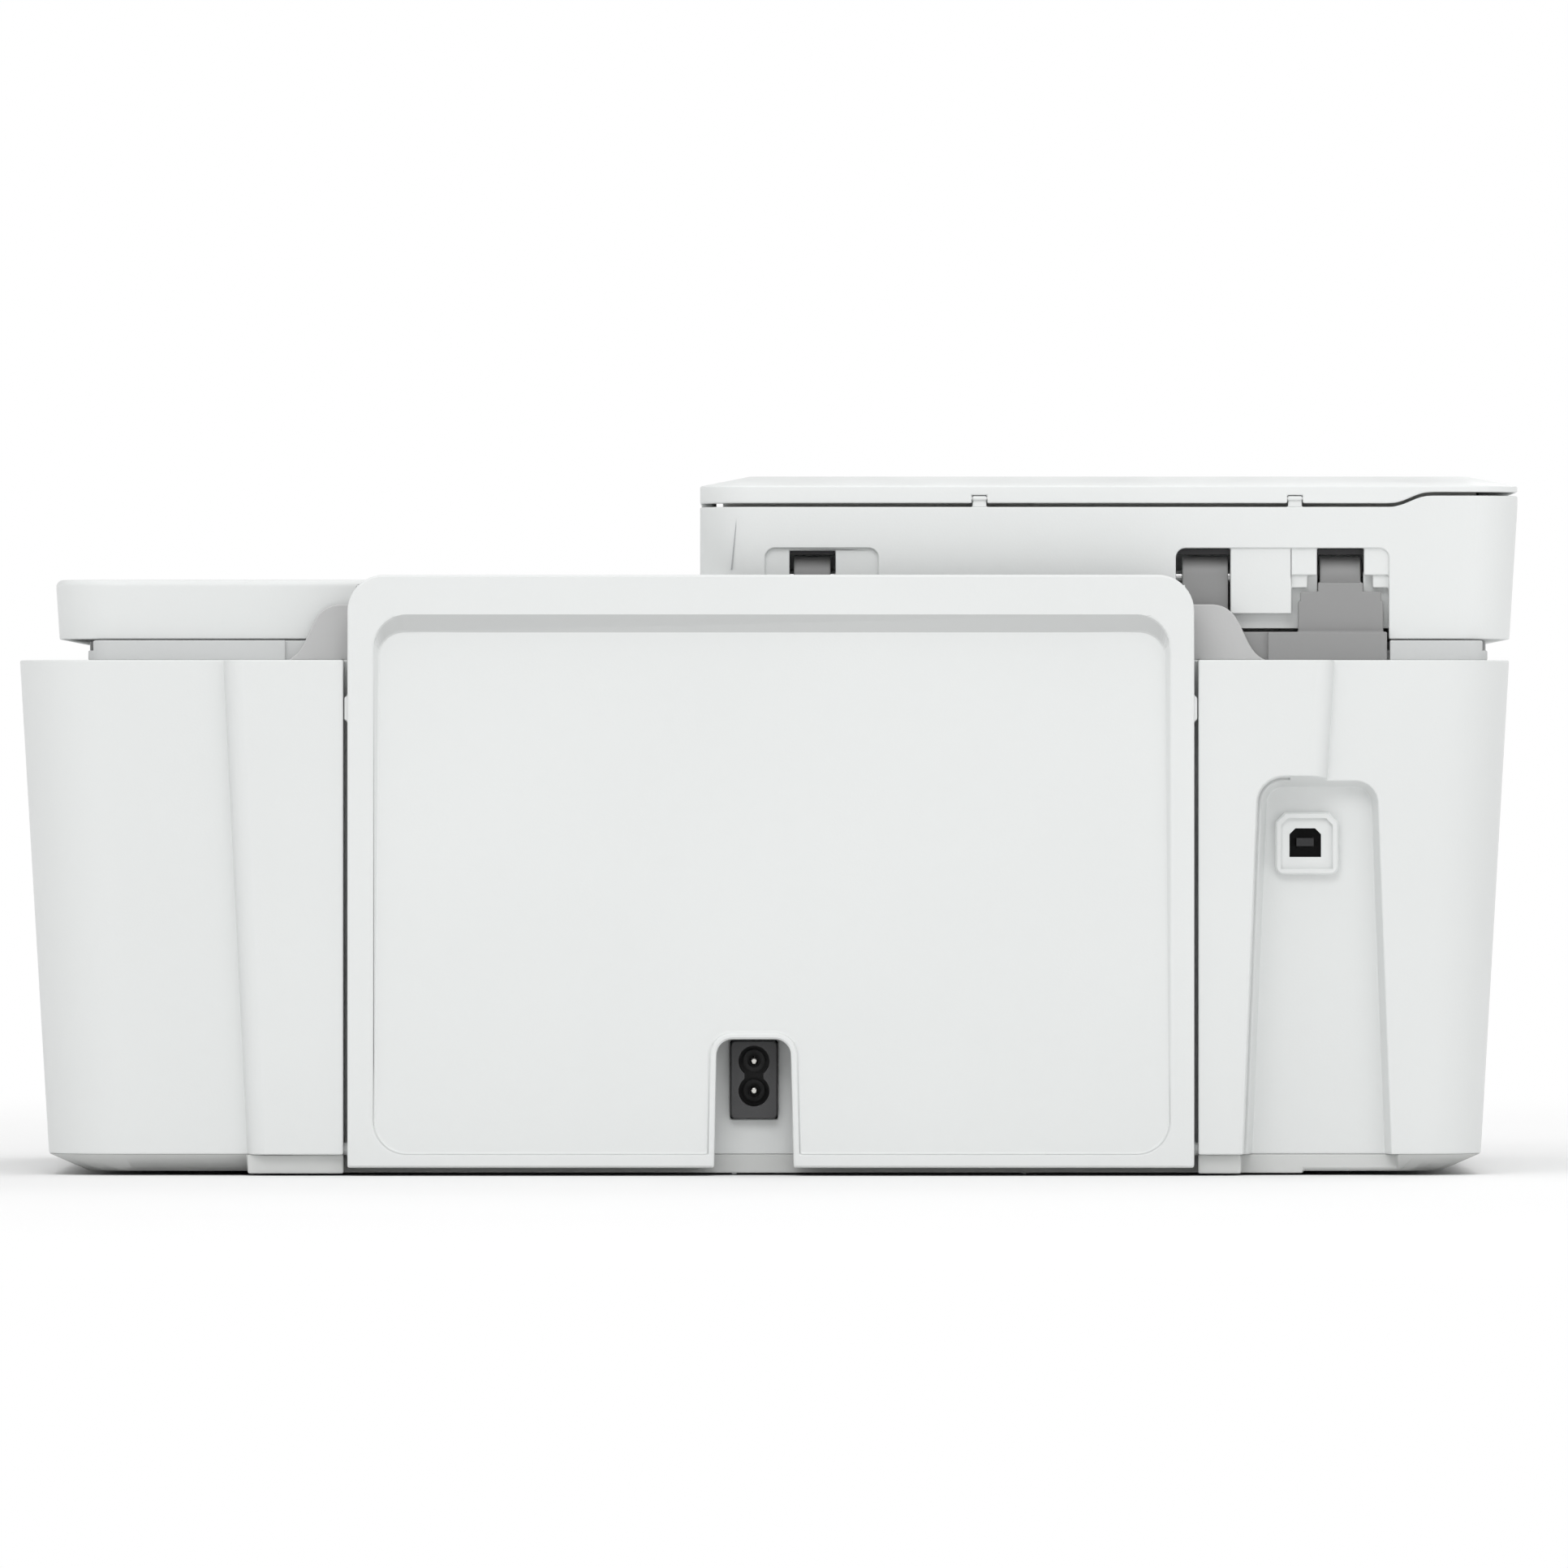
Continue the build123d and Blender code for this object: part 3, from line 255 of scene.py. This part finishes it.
def brushed_metal(name, colour, roughness=0.32, along="X", grain=900.0):
    """Metal with fine drawn lines along one axis."""
    material, tree, shader = new_material(name, colour, roughness, metallic=1.0)
    stretch = {"X": (0.03, 1.0, 1.0), "Y": (1.0, 0.03, 1.0), "Z": (1.0, 1.0, 0.03)}[along]
    vector = object_coordinates(tree, stretch)
    lines = noise(tree, vector, grain, 4.0)
    colour_between(tree, lines, toned(colour, 0.86), toned(colour, 1.1), shader)
    roughness_between(tree, lines, roughness - 0.08, roughness + 0.12, shader)
    bumped(tree, lines, 0.15, 0.0001, shader)
    return material


def rubber(name, colour):
    """Matt rubber with a ground surface."""
    material, tree, shader = new_material(name, colour, 0.8)
    vector = object_coordinates(tree)
    colour_between(tree, noise(tree, vector, 60.0), toned(colour, 0.8), toned(colour, 1.35), shader)
    roughness_between(tree, noise(tree, vector, 200.0), 0.7, 0.92, shader)
    bumped(tree, noise(tree, vector, 1200.0, 3.0), 0.5, 0.0002, shader)
    return material


def felt(name, colour):
    """Absorbent felt: soft fibres and slight stains."""
    material, tree, shader = new_material(name, colour, 0.95)
    vector = object_coordinates(tree)
    colour_between(tree, noise(tree, vector, 40.0, 6.0), toned(colour, 0.75), toned(colour, 1.15), shader)
    bumped(tree, noise(tree, object_coordinates(tree, (1.0, 0.3, 2.0)), 800.0, 5.0), 0.8, 0.0008, shader)
    shader.inputs["Sheen Weight"].default_value = 0.3
    return material


def float_glass(name, colour):
    """Clear glass with a hint of green and a little handling haze."""
    material, tree, shader = new_material(name, colour, 0.03)
    vector = object_coordinates(tree)
    colour_between(tree, noise(tree, vector, 8.0), toned(colour, 0.98), toned(colour, 1.02), shader)
    roughness_between(tree, noise(tree, vector, 30.0, 4.0), 0.01, 0.06, shader)
    shader.inputs["Transmission Weight"].default_value = 1.0
    shader.inputs["IOR"].default_value = 1.5
    return material


def circuit_board(name, colour):
    """Green solder mask with copper lines under it and dots of solder."""
    material, tree, shader = new_material(name, colour, 0.35)
    vector = object_coordinates(tree)
    bricks = tree.nodes.new("ShaderNodeTexBrick")
    bricks.inputs["Scale"].default_value = 160.0
    bricks.inputs["Mortar Size"].default_value = 0.03
    bricks.inputs["Color1"].default_value = (*colour, 1.0)
    bricks.inputs["Color2"].default_value = (*toned(colour, 1.15), 1.0)
    bricks.inputs["Mortar"].default_value = (*toned(colour, 2.2), 1.0)
    tree.links.new(vector, bricks.inputs["Vector"])
    tree.links.new(bricks.outputs["Color"], shader.inputs["Base Color"])
    bumped(tree, bricks.outputs["Fac"], 0.3, 0.0001, shader)
    return material


def film(name, colour):
    """Clear film with fine printed lines across it."""
    material, tree, shader = new_material(name, colour, 0.2)
    wave = tree.nodes.new("ShaderNodeTexWave")
    wave.inputs["Scale"].default_value = 900.0
    tree.links.new(object_coordinates(tree), wave.inputs["Vector"])
    colour_between(tree, wave.outputs["Fac"], toned(colour, 0.55), toned(colour, 1.2), shader)
    return material


def floor_material():
    """Pale studio paper with a hint of texture that fades into the white surround."""
    material, tree, shader = new_material("studio_paper", (0.86, 0.86, 0.86), 0.75)
    vector = object_coordinates(tree)
    colour_between(tree, noise(tree, vector, 9.0), (0.855, 0.855, 0.855), (0.865, 0.865, 0.865), shader)
    bumped(tree, noise(tree, vector, 200.0), 0.05, FINE_GRAIN, shader)
    distance = tree.nodes.new("ShaderNodeVectorMath")
    distance.operation = "LENGTH"
    tree.links.new(vector, distance.inputs[0])
    reach = tree.nodes.new("ShaderNodeMapRange")
    reach.interpolation_type = "SMOOTHSTEP"
    reach.inputs["From Min"].default_value = 0.35
    reach.inputs["From Max"].default_value = 1.5
    tree.links.new(distance.outputs["Value"], reach.inputs["Value"])
    backdrop = tree.nodes.new("ShaderNodeEmission")
    backdrop.inputs["Color"].default_value = (1.0, 1.0, 1.0, 1.0)
    blend = tree.nodes.new("ShaderNodeMixShader")
    tree.links.new(reach.outputs["Result"], blend.inputs["Fac"])
    tree.links.new(shader.outputs["BSDF"], blend.inputs[1])
    tree.links.new(backdrop.outputs["Emission"], blend.inputs[2])
    tree.links.new(blend.outputs["Shader"], tree.nodes["Material Output"].inputs["Surface"])
    return material


WHITE = (0.76, 0.775, 0.77)
MATERIALS = {
    "white_shell": moulded_plastic("white_shell", toned(WHITE, 0.98)),
    # The tray gets painted shade on its down-facing faces, for the dark band under the rim of its recess.
    "white_tray": moulded_plastic("white_tray", toned(WHITE, 0.99), painted_shade_below=0.26),
    "white_scanner": moulded_plastic("white_scanner", toned(WHITE, 1.02)),
    "white_lid": moulded_plastic("white_lid", toned(WHITE, 1.04), 0.36),
    "neck_plastic": moulded_plastic("neck_plastic", (0.60, 0.61, 0.61), 0.5),
    "pan_plastic": moulded_plastic("pan_plastic", (0.62, 0.63, 0.62), 0.55),
    "cheek_plastic": moulded_plastic("cheek_plastic", (0.53, 0.53, 0.53), 0.5),
    "guide_plastic": moulded_plastic("guide_plastic", (0.42, 0.43, 0.44), 0.5),
    "grey_bracket": moulded_plastic("grey_bracket", (0.30, 0.30, 0.30), 0.5),
    "grey_inner": moulded_plastic("grey_inner", (0.12, 0.12, 0.125), 0.55),
    "gear_plastic": moulded_plastic("gear_plastic", (0.70, 0.69, 0.64), 0.4),
    "tray_grey": moulded_plastic("tray_grey", (0.45, 0.46, 0.47), 0.55, relief=0.5),
    "black_plastic": moulded_plastic("black_plastic", (0.02, 0.02, 0.022), 0.5, relief=0.4),
    "cartridge_plastic": moulded_plastic("cartridge_plastic", (0.03, 0.03, 0.034), 0.35),
    "panel_black": gloss_plastic("panel_black", (0.03, 0.03, 0.034)),
    "button_plastic": moulded_plastic("button_plastic", (0.55, 0.56, 0.57), 0.4),
    "display_glass": gloss_plastic("display_glass", (0.01, 0.013, 0.018), 0.06),
    "flatbed_glass": float_glass("flatbed_glass", (0.86, 0.93, 0.90)),
    "pad_foam": moulded_plastic("pad_foam", (0.82, 0.82, 0.80), 0.7, grain=500.0, relief=0.6),
    "steel": brushed_metal("steel", (0.62, 0.62, 0.62), 0.22),
    "sheet_steel": brushed_metal("sheet_steel", (0.50, 0.51, 0.52), 0.4, "Z", 300.0),
    "motor_steel": brushed_metal("motor_steel", (0.42, 0.42, 0.43), 0.35),
    "nickel_pin": brushed_metal("nickel_pin", (0.66, 0.65, 0.62), 0.2, "Y"),
    "bush_brass": brushed_metal("bush_brass", (0.72, 0.52, 0.25), 0.35),
    "strip_film": film("strip_film", (0.45, 0.45, 0.46)),
    "roller_rubber": rubber("roller_rubber", (0.06, 0.06, 0.06)),
    "belt_rubber": rubber("belt_rubber", (0.02, 0.02, 0.02)),
    "foot_rubber": rubber("foot_rubber", (0.05, 0.05, 0.05)),
    "felt": felt("felt", (0.55, 0.54, 0.50)),
    "inlet_plastic": moulded_plastic("inlet_plastic", (0.055, 0.055, 0.057), 0.45),
    "board_green": circuit_board("board_green", (0.02, 0.12, 0.06)),
    "ink_cyan": gloss_plastic("ink_cyan", (0.02, 0.32, 0.55), 0.3),
    "ink_magenta": gloss_plastic("ink_magenta", (0.55, 0.03, 0.22), 0.3),
    "ink_yellow": gloss_plastic("ink_yellow", (0.80, 0.60, 0.03), 0.3),
    "screen_blue": gloss_plastic("screen_blue", (0.03, 0.09, 0.17), 0.08),
    "screen_pale": gloss_plastic("screen_pale", (0.42, 0.55, 0.62), 0.12),
}


# Tools shared by the pieces ------------------------------------------------------------------
def deselect_all():
    """Leave edit mode and drop every selection."""
    if bpy.context.object and bpy.context.object.mode != "OBJECT":
        bpy.ops.object.mode_set(mode="OBJECT")
    bpy.ops.object.select_all(action="DESELECT")


def make_active(piece):
    """Select one piece alone."""
    deselect_all()
    piece.select_set(True)
    bpy.context.view_layer.objects.active = piece


def apply_modifiers(piece):
    """Apply every modifier in turn."""
    make_active(piece)
    for modifier in list(piece.modifiers):
        bpy.ops.object.modifier_apply(modifier=modifier.name)


def finished(piece, name, body, slot, smooth_angle=32.0, look=None):
    """Name a piece, give it its material and let it ride on its body."""
    make_active(piece)
    bpy.ops.object.transform_apply(location=True, rotation=True, scale=True)
    bpy.ops.object.shade_smooth_by_angle(angle=math.radians(smooth_angle))
    piece.name = name
    piece.data.name = name
    piece.data.materials.clear()
    piece.data.materials.append(MATERIALS[look or slot])
    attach(piece, body)
    return piece


def box_mesh(x_span, y_span, z_span):
    """A box between limits in millimetres, its place held in its mesh."""
    deselect_all()
    bpy.ops.mesh.primitive_cube_add(size=1.0)
    piece = bpy.context.active_object
    spans = (x_span, y_span, z_span)
    piece.scale = [(high - low) * MM for low, high in spans]
    piece.location = [(low + high) / 2 * MM for low, high in spans]
    bpy.ops.object.transform_apply(location=True, rotation=True, scale=True)
    return piece


def rod_mesh(place, radius, length, axis="Z", sides=40):
    """A cylinder or a prism about a place in millimetres."""
    deselect_all()
    bpy.ops.mesh.primitive_cylinder_add(
        vertices=sides, radius=radius * MM, depth=length * MM, location=Vector(place) * MM,
        rotation=AXIS_TURNS[axis],
    )
    piece = bpy.context.active_object
    bpy.ops.object.transform_apply(location=True, rotation=True, scale=True)
    return piece


def ring_mesh(place, radius, thickness):
    """A round level ring about a place in millimetres."""
    deselect_all()
    bpy.ops.mesh.primitive_torus_add(
        major_radius=radius * MM, minor_radius=thickness * MM, major_segments=40, minor_segments=10,
        location=Vector(place) * MM,
    )
    piece = bpy.context.active_object
    bpy.ops.object.transform_apply(location=True, rotation=True, scale=True)
    return piece


def bevelled(piece, width, sharpest=30.0, clamped=True):
    """Round the edges that are sharper than an angle in degrees, by a width in millimetres."""
    rounding = piece.modifiers.new("rounded_edges", "BEVEL")
    rounding.width = width * MM
    rounding.segments = 2
    rounding.limit_method = "ANGLE"
    rounding.angle_limit = math.radians(sharpest)
    rounding.use_clamp_overlap = clamped
    apply_modifiers(piece)
    return piece


def repeated(piece, count, step):
    """Copies in a row, each moved by a step in millimetres."""
    row = piece.modifiers.new("row", "ARRAY")
    row.count = count
    row.use_relative_offset = False
    row.use_constant_offset = True
    row.constant_offset_displace = Vector(step) * MM
    apply_modifiers(piece)
    return piece


def joined(pieces):
    """One object from several."""
    deselect_all()
    for piece in pieces:
        piece.select_set(True)
    bpy.context.view_layer.objects.active = pieces[0]
    bpy.ops.object.join()
    return pieces[0]


def sunk_face(piece, towards, margin, depth):
    """Inset the face that looks in one direction and push it in, both in millimetres."""
    make_active(piece)
    direction = Vector(towards)
    bpy.ops.object.mode_set(mode="EDIT")
    bpy.ops.mesh.select_mode(type="FACE")
    bpy.ops.mesh.select_all(action="DESELECT")
    bpy.ops.object.mode_set(mode="OBJECT")
    for face in piece.data.polygons:
        face.select = face.normal.dot(direction) > 0.99
    bpy.ops.object.mode_set(mode="EDIT")
    bpy.ops.mesh.inset(thickness=margin * MM, depth=0.0)
    bpy.ops.mesh.extrude_region_move(TRANSFORM_OT_translate={"value": direction * -depth * MM})
    bpy.ops.object.mode_set(mode="OBJECT")
    return piece


def spun_teeth(tooth, centre, count):
    """Copies of a tooth all the way round an axis along X."""
    make_active(tooth)
    bpy.ops.object.mode_set(mode="EDIT")
    bpy.ops.mesh.select_all(action="SELECT")
    bpy.ops.mesh.spin(
        steps=count, dupli=True, angle=math.radians(360), center=Vector(centre) * MM, axis=(1, 0, 0)
    )
    bpy.ops.object.mode_set(mode="OBJECT")
    return tooth


def slot_of(node):
    """The material slot that the record gives a node."""
    return next(row["material_slot"] for row in frame["record"]["subparts"] if row["node"] == node)


def body_of(node):
    """The body that a node belongs to."""
    bodies = frame["record"]["behaviour"]["bodies"]
    return next(body for body, nodes in bodies.items() if node in nodes)


# Shells that get rounded edges, with the width in millimetres, and the angle in degrees up to which
# the faces of a shell shade smoothly where it isn't 40.
SOFT_EDGES = {
    "base_housing": 0.5,
    "input_tray": 0.6,
    "scanner_housing": 0.4,
    "deck_cover": 0.4,
    "lid_shell": 0.5,
    "base_pan": 0.5,
    "hinge_arms": 0.4,
    "hinge_bracket": 0.4,
    "paper_chute": 0.4,
    "output_tray": 0.5,
    "output_extender": 0.4,
    "tray_extender": 0.4,
    "top_frame": 0.4,
    "control_panel": 0.25,
}
SMOOTH_LIMITS = {"input_tray": 20.0}


def kept_inside(piece, source):
    """Corners that the rounding pushed out go back to the box of the CAD piece."""
    places = [vertex.co for vertex in source.data.vertices]
    low = [min(place[axis] for place in places) for axis in range(3)]
    high = [max(place[axis] for place in places) for axis in range(3)]
    for vertex in piece.data.vertices:
        vertex.co = [min(max(vertex.co[axis], low[axis]), high[axis]) for axis in range(3)]


def softened(node, width, smooth_limit):
    """A moulded shell in its CAD shape, with its sharp edges rounded by a width in millimetres."""
    source = frame["nodes"][node]
    piece = bpy.data.objects.new(node + "_shell", source.data.copy())
    bpy.context.scene.collection.objects.link(piece)
    make_active(piece)
    bpy.ops.object.mode_set(mode="EDIT")
    bpy.ops.mesh.select_all(action="SELECT")
    bpy.ops.mesh.remove_doubles(threshold=0.00001)
    bpy.ops.mesh.dissolve_limited(angle_limit=math.radians(1.0))
    bpy.ops.object.mode_set(mode="OBJECT")
    bevelled(piece, width, 35.0, clamped=False)
    kept_inside(piece, source)
    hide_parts(node)
    finished(piece, node + "_shell", body_of(node), slot_of(node), smooth_limit)
    piece.modifiers.new("flat_faces_stay_flat", "WEIGHTED_NORMAL").keep_sharp = True
    apply_modifiers(piece)


# CAD nodes that keep their own shape ---------------------------------------------------------
def dress_cad_nodes():
    """Every CAD node gets the detailed material of its slot."""
    for node, piece in frame["nodes"].items():
        piece.data.materials.clear()
        piece.data.materials.append(MATERIALS[slot_of(node)])
        make_active(piece)


# Front tray and paper path -------------------------------------------------------------------
LEFT_GEAR_X = (-171.8, -166.2)
PICK_GEAR_X = (108.2, 113.8)
BELT_PITCH = 2.5


def build_paper_path():
    """Ribs and grip of the front tray, teeth of the gears and the belt, caps of the service station."""
    ribs = repeated(bevelled(box_mesh((-101, -99), (-156, -60), (30.9, 31.8)), 0.3), 9, (25, 0, 0))
    finished(ribs, "front_tray_ribs", "front_tray", "tray_grey")
    grip = repeated(bevelled(box_mesh((-14, 14), (-165.0, -164.6), (27.0, 27.6)), 0.15), 3, (0, 0, 1.8))
    finished(grip, "front_extender_grip", "front_extender", "tray_grey")
    for name, body, centre, radius, count, x_span in (
        ("feed_gear_teeth", "feed_shaft", (-169, 50, 60), 16.0, 56, LEFT_GEAR_X),
        ("output_gear_teeth", "output_shaft", (-169, -60, 60), 9.0, 32, LEFT_GEAR_X),
        ("pick_gear_teeth", "pick_shaft", (111, 98, 76), 10.0, 36, PICK_GEAR_X),
    ):
        low = centre[2] + radius - 0.4
        tooth = bevelled(box_mesh(x_span, (centre[1] - 0.4, centre[1] + 0.4), (low, low + 0.9)), 0.15)
        finished(spun_teeth(tooth, centre, count), name, body, "roller_rubber", look="gear_plastic")
    for name, x_span in (("cap_left", (104.4, 118.6)), ("cap_right", (124.4, 138.6))):
        cap = sunk_face(box_mesh(x_span, (-33.6, 11.6), (62.5, 63.7)), (0, 0, 1), 1.0, 0.9)
        finished(bevelled(cap, 0.2), "service_" + name, "root", "roller_rubber")
    teeth = [
        repeated(box_mesh((-157.5, -156.3), (50.0, 54.0), z_span), 126, (BELT_PITCH, 0, 0))
        for z_span in ((130.05, 130.35), (117.65, 117.95))
    ]
    finished(joined(teeth), "belt_teeth", "root", "belt_rubber")


# Ink carriage and motors ---------------------------------------------------------------------
CARTRIDGE_TOP = 118.0
CARRIAGE_MOTOR = (160, 124)
FEED_MOTOR = (76, 40)


def build_carriage():
    """Cartridge labels, grips and latches, and the end caps of both motors."""
    for name, node, inks in (
        ("black", "cartridge_black", ("cartridge_plastic",)),
        ("color", "cartridge_color", ("ink_cyan", "ink_magenta", "ink_yellow")),
    ):
        low, high = (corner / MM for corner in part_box(node))
        label = bevelled(
            box_mesh((low.x + 3, high.x - 3), (low.y + 5, low.y + 34), (CARTRIDGE_TOP, 118.25)), 0.1
        )
        finished(label, name + "_top_label", "carriage", "cartridge_plastic", look="gear_plastic")
        for index, ink in enumerate(inks):
            x = (low.x + high.x) / 2 + (index - (len(inks) - 1) / 2) * 8
            dot = bevelled(rod_mesh((x, low.y + 19, 118.35), 2.8, 0.3), 0.1)
            finished(dot, f"{name}_ink_mark_{index}", "carriage", "cartridge_plastic", look=ink)
        grip = bevelled(
            box_mesh((low.x + 6, high.x - 6), (high.y - 12, high.y - 10.8), (CARTRIDGE_TOP, 119.4)), 0.3
        )
        finished(repeated(grip, 4, (0, 2.6, 0)), name + "_grip", "carriage", "cartridge_plastic")
        latch = sunk_face(
            box_mesh((low.x + 9, high.x - 9), (20.5, 25.5), (126.0, 129.0)), (0, 0, 1), 1.2, 0.8
        )
        finished(bevelled(latch, 0.5), name + "_latch", "carriage", "black_plastic", look="grey_inner")
    x, z = CARRIAGE_MOTOR
    caps = [bevelled(rod_mesh((x, y, z), radius, length, "Y"), 0.4)
            for y, radius, length in ((92.6, 11.0, 1.2), (93.8, 3.6, 1.6))]
    caps += [bevelled(rod_mesh((x, *FEED_MOTOR), radius, length, "X"), 0.4)
             for x, radius, length in ((-139.5, 11.0, 1.0), (-138.6, 3.6, 1.2))]
    finished(joined(caps), "motor_end_caps", "root", "motor_steel")


# Electronics ---------------------------------------------------------------------------------
BOARD_TOP = 88.0


def build_electronics():
    """Chips, capacitors and plugs on the main board, and vents on the power supply."""
    chips = [
        bevelled(box_mesh((x, x + w), (y, y + d), (BOARD_TOP, BOARD_TOP + h)), 0.2)
        for x, y, w, d, h in (
            (-186, 100, 20, 20, 1.8), (-188, 76, 12, 8, 1.4), (-166, 104, 10, 14, 1.4), (-170, 78, 8, 8, 1.2),
            (-192, 128, 9, 6, 1.2), (-166, 126, 6, 10, 1.2),
        )
    ]
    finished(joined(chips), "board_chips", "root", "black_plastic")
    cans = [
        bevelled(rod_mesh((x, y, 91.5), 3.2, 7.0), 0.4) for x, y in ((-150, 76), (-158, 76), (-150, 86))
    ]
    finished(joined(cans), "board_capacitors", "root", "motor_steel")
    plugs = [
        bevelled(sunk_face(box_mesh((x, x + w), (69, 74), (BOARD_TOP, 95)), (0, 0, 1), 0.8, 4.0), 0.2)
        for x, w in ((-196, 8), (-185, 14), (-168, 7))
    ]
    finished(joined(plugs), "board_plugs", "root", "gear_plastic")
    vents = repeated(bevelled(box_mesh((-32, 52), (72, 73.6), (50.0, 50.8)), 0.3), 10, (0, 6, 0))
    finished(vents, "supply_vents", "root", "black_plastic")


# Control panel -------------------------------------------------------------------------------
BUTTON_TOP = 171.2
ICON_MIDDLE = 171.32
COPY_BUTTONS = (("mono", 164.0, "panel_black"), ("color", 182.0, "ink_cyan"))
MENU_BUTTON_X = 150


def build_panel():
    """Plain icons on the buttons and a display with pale bars on its screen."""
    power = joined([
        ring_mesh((82, -92, ICON_MIDDLE), 2.0, 0.2),
        box_mesh((81.8, 82.2), (-91.6, -89.6), (BUTTON_TOP, 171.5)),
    ])
    finished(power, "icon_power", "button_power_body", "button_plastic", look="panel_black")
    stop = bevelled(box_mesh((180.3, 183.7), (-93.7, -90.3), (BUTTON_TOP, 171.42)), 0.08)
    finished(stop, "icon_stop", "button_stop_body", "button_plastic", look="ink_magenta")
    for name, x, look in COPY_BUTTONS:
        pages = [
            bevelled(
                box_mesh(
                    (x - 2.6 + shift, x + 0.8 + shift), (-130.6 + shift, -126.0 + shift),
                    (BUTTON_TOP, 171.36 + shift / 12),
                ),
                0.05,
            )
            for shift in (0.0, 1.6)
        ]
        finished(joined(pages), "icon_copy_" + name, f"button_copy_{name}_body", "button_plastic", look=look)
    ring = ring_mesh((MENU_BUTTON_X, -110, ICON_MIDDLE), 1.6, 0.2)
    finished(ring, "icon_ok", "button_ok_body", "button_plastic", look="panel_black")
    for name, y, turn in (("up", -96.0, 0.0), ("down", -124.0, 180.0)):
        arrow = rod_mesh((0, 0, 0), 1.9, 0.24, sides=3)
        arrow.rotation_euler.z = math.radians(turn)
        arrow.location = (MENU_BUTTON_X * MM, y * MM, ICON_MIDDLE * MM)
        finished(arrow, "icon_" + name, f"button_{name}_body", "button_plastic", look="panel_black")
    screen = bevelled(box_mesh((77, 131), (-133.5, -108.5), (170.06, 170.14)), 0.03)
    finished(screen, "display_screen", "upper_unit", "display_glass", look="screen_blue")
    bars = [
        box_mesh((81, x), (y, y + 2.2), (170.1, 170.17))
        for x, y in ((112, -115), (122, -120), (104, -125), (96, -130))
    ]
    finished(joined(bars), "display_bars", "upper_unit", "display_glass", look="screen_pale")
    rim = sunk_face(box_mesh((70.5, 137.5), (-139.5, -102.5), (169.9, 170.12)), (0, 0, 1), 1.3, 0.2)
    finished(bevelled(rim, 0.05), "display_rim", "upper_unit", "panel_black", look="button_plastic")


# Rear details --------------------------------------------------------------------------------
# Spans of the hinge arms, and the top of the painted shade strip over each.
HINGE_ARMS_X = (((-18.7, -6.0), 177.9), ((-131.4, -116.6), 178.4), ((-169.5, -156.5), 178.4))
POCKET_BACKS_X = ((-177.0, -169.6), (-156.4, -132.0))


def build_rear():
    """Black strips over the hinge arms as painted shade in the tops of their pockets, walls behind the
    bracket, a seam, small hooks and the scan lamp.
    """
    # Painted shade: black strips at the tops of the deep arm pockets, where shade falls.
    caps = [box_mesh(x_span, (136.5, 138.6), (176.9, z_top)) for x_span, z_top in HINGE_ARMS_X]
    finished(joined(caps), "hinge_painted_shade", "upper_unit", "white_scanner", look="black_plastic")
    backs = [box_mesh(x_span, (136.4, 137.4), (155.9, 172.0)) for x_span in POCKET_BACKS_X]
    finished(joined(backs), "pocket_backs", "upper_unit", "white_scanner")
    seam = box_mesh((-0.15, 0.15), (138.5, 140.95), (-8.6, 8.6))
    seam.rotation_euler.y = math.radians(-6)
    seam.location = (9.9 * MM, 0, 181.2 * MM)
    finished(seam, "scanner_corner_seam", "upper_unit", "white_scanner", look="guide_plastic")
    hooks = [
        bevelled(box_mesh((x - 0.7, x + 0.7), (149.5, 150.9), (0.3, 3.0)), 0.2) for x in (10.0, -72.7)
    ]
    finished(joined(hooks), "pan_hooks", "root", "pan_plastic", look="guide_plastic")
    lamp = bevelled(box_mesh((-192, 0), (124, 127), (186.8, 187.1)), 0.1)
    finished(lamp, "scan_lamp", "scanner_bar", "black_plastic", look="gear_plastic")


add_camera()
add_stage()
dress_cad_nodes()

for shell, edge_width in SOFT_EDGES.items():
    softened(shell, edge_width, SMOOTH_LIMITS.get(shell, 40.0))

build_paper_path()
build_carriage()
build_electronics()
build_panel()
build_rear()
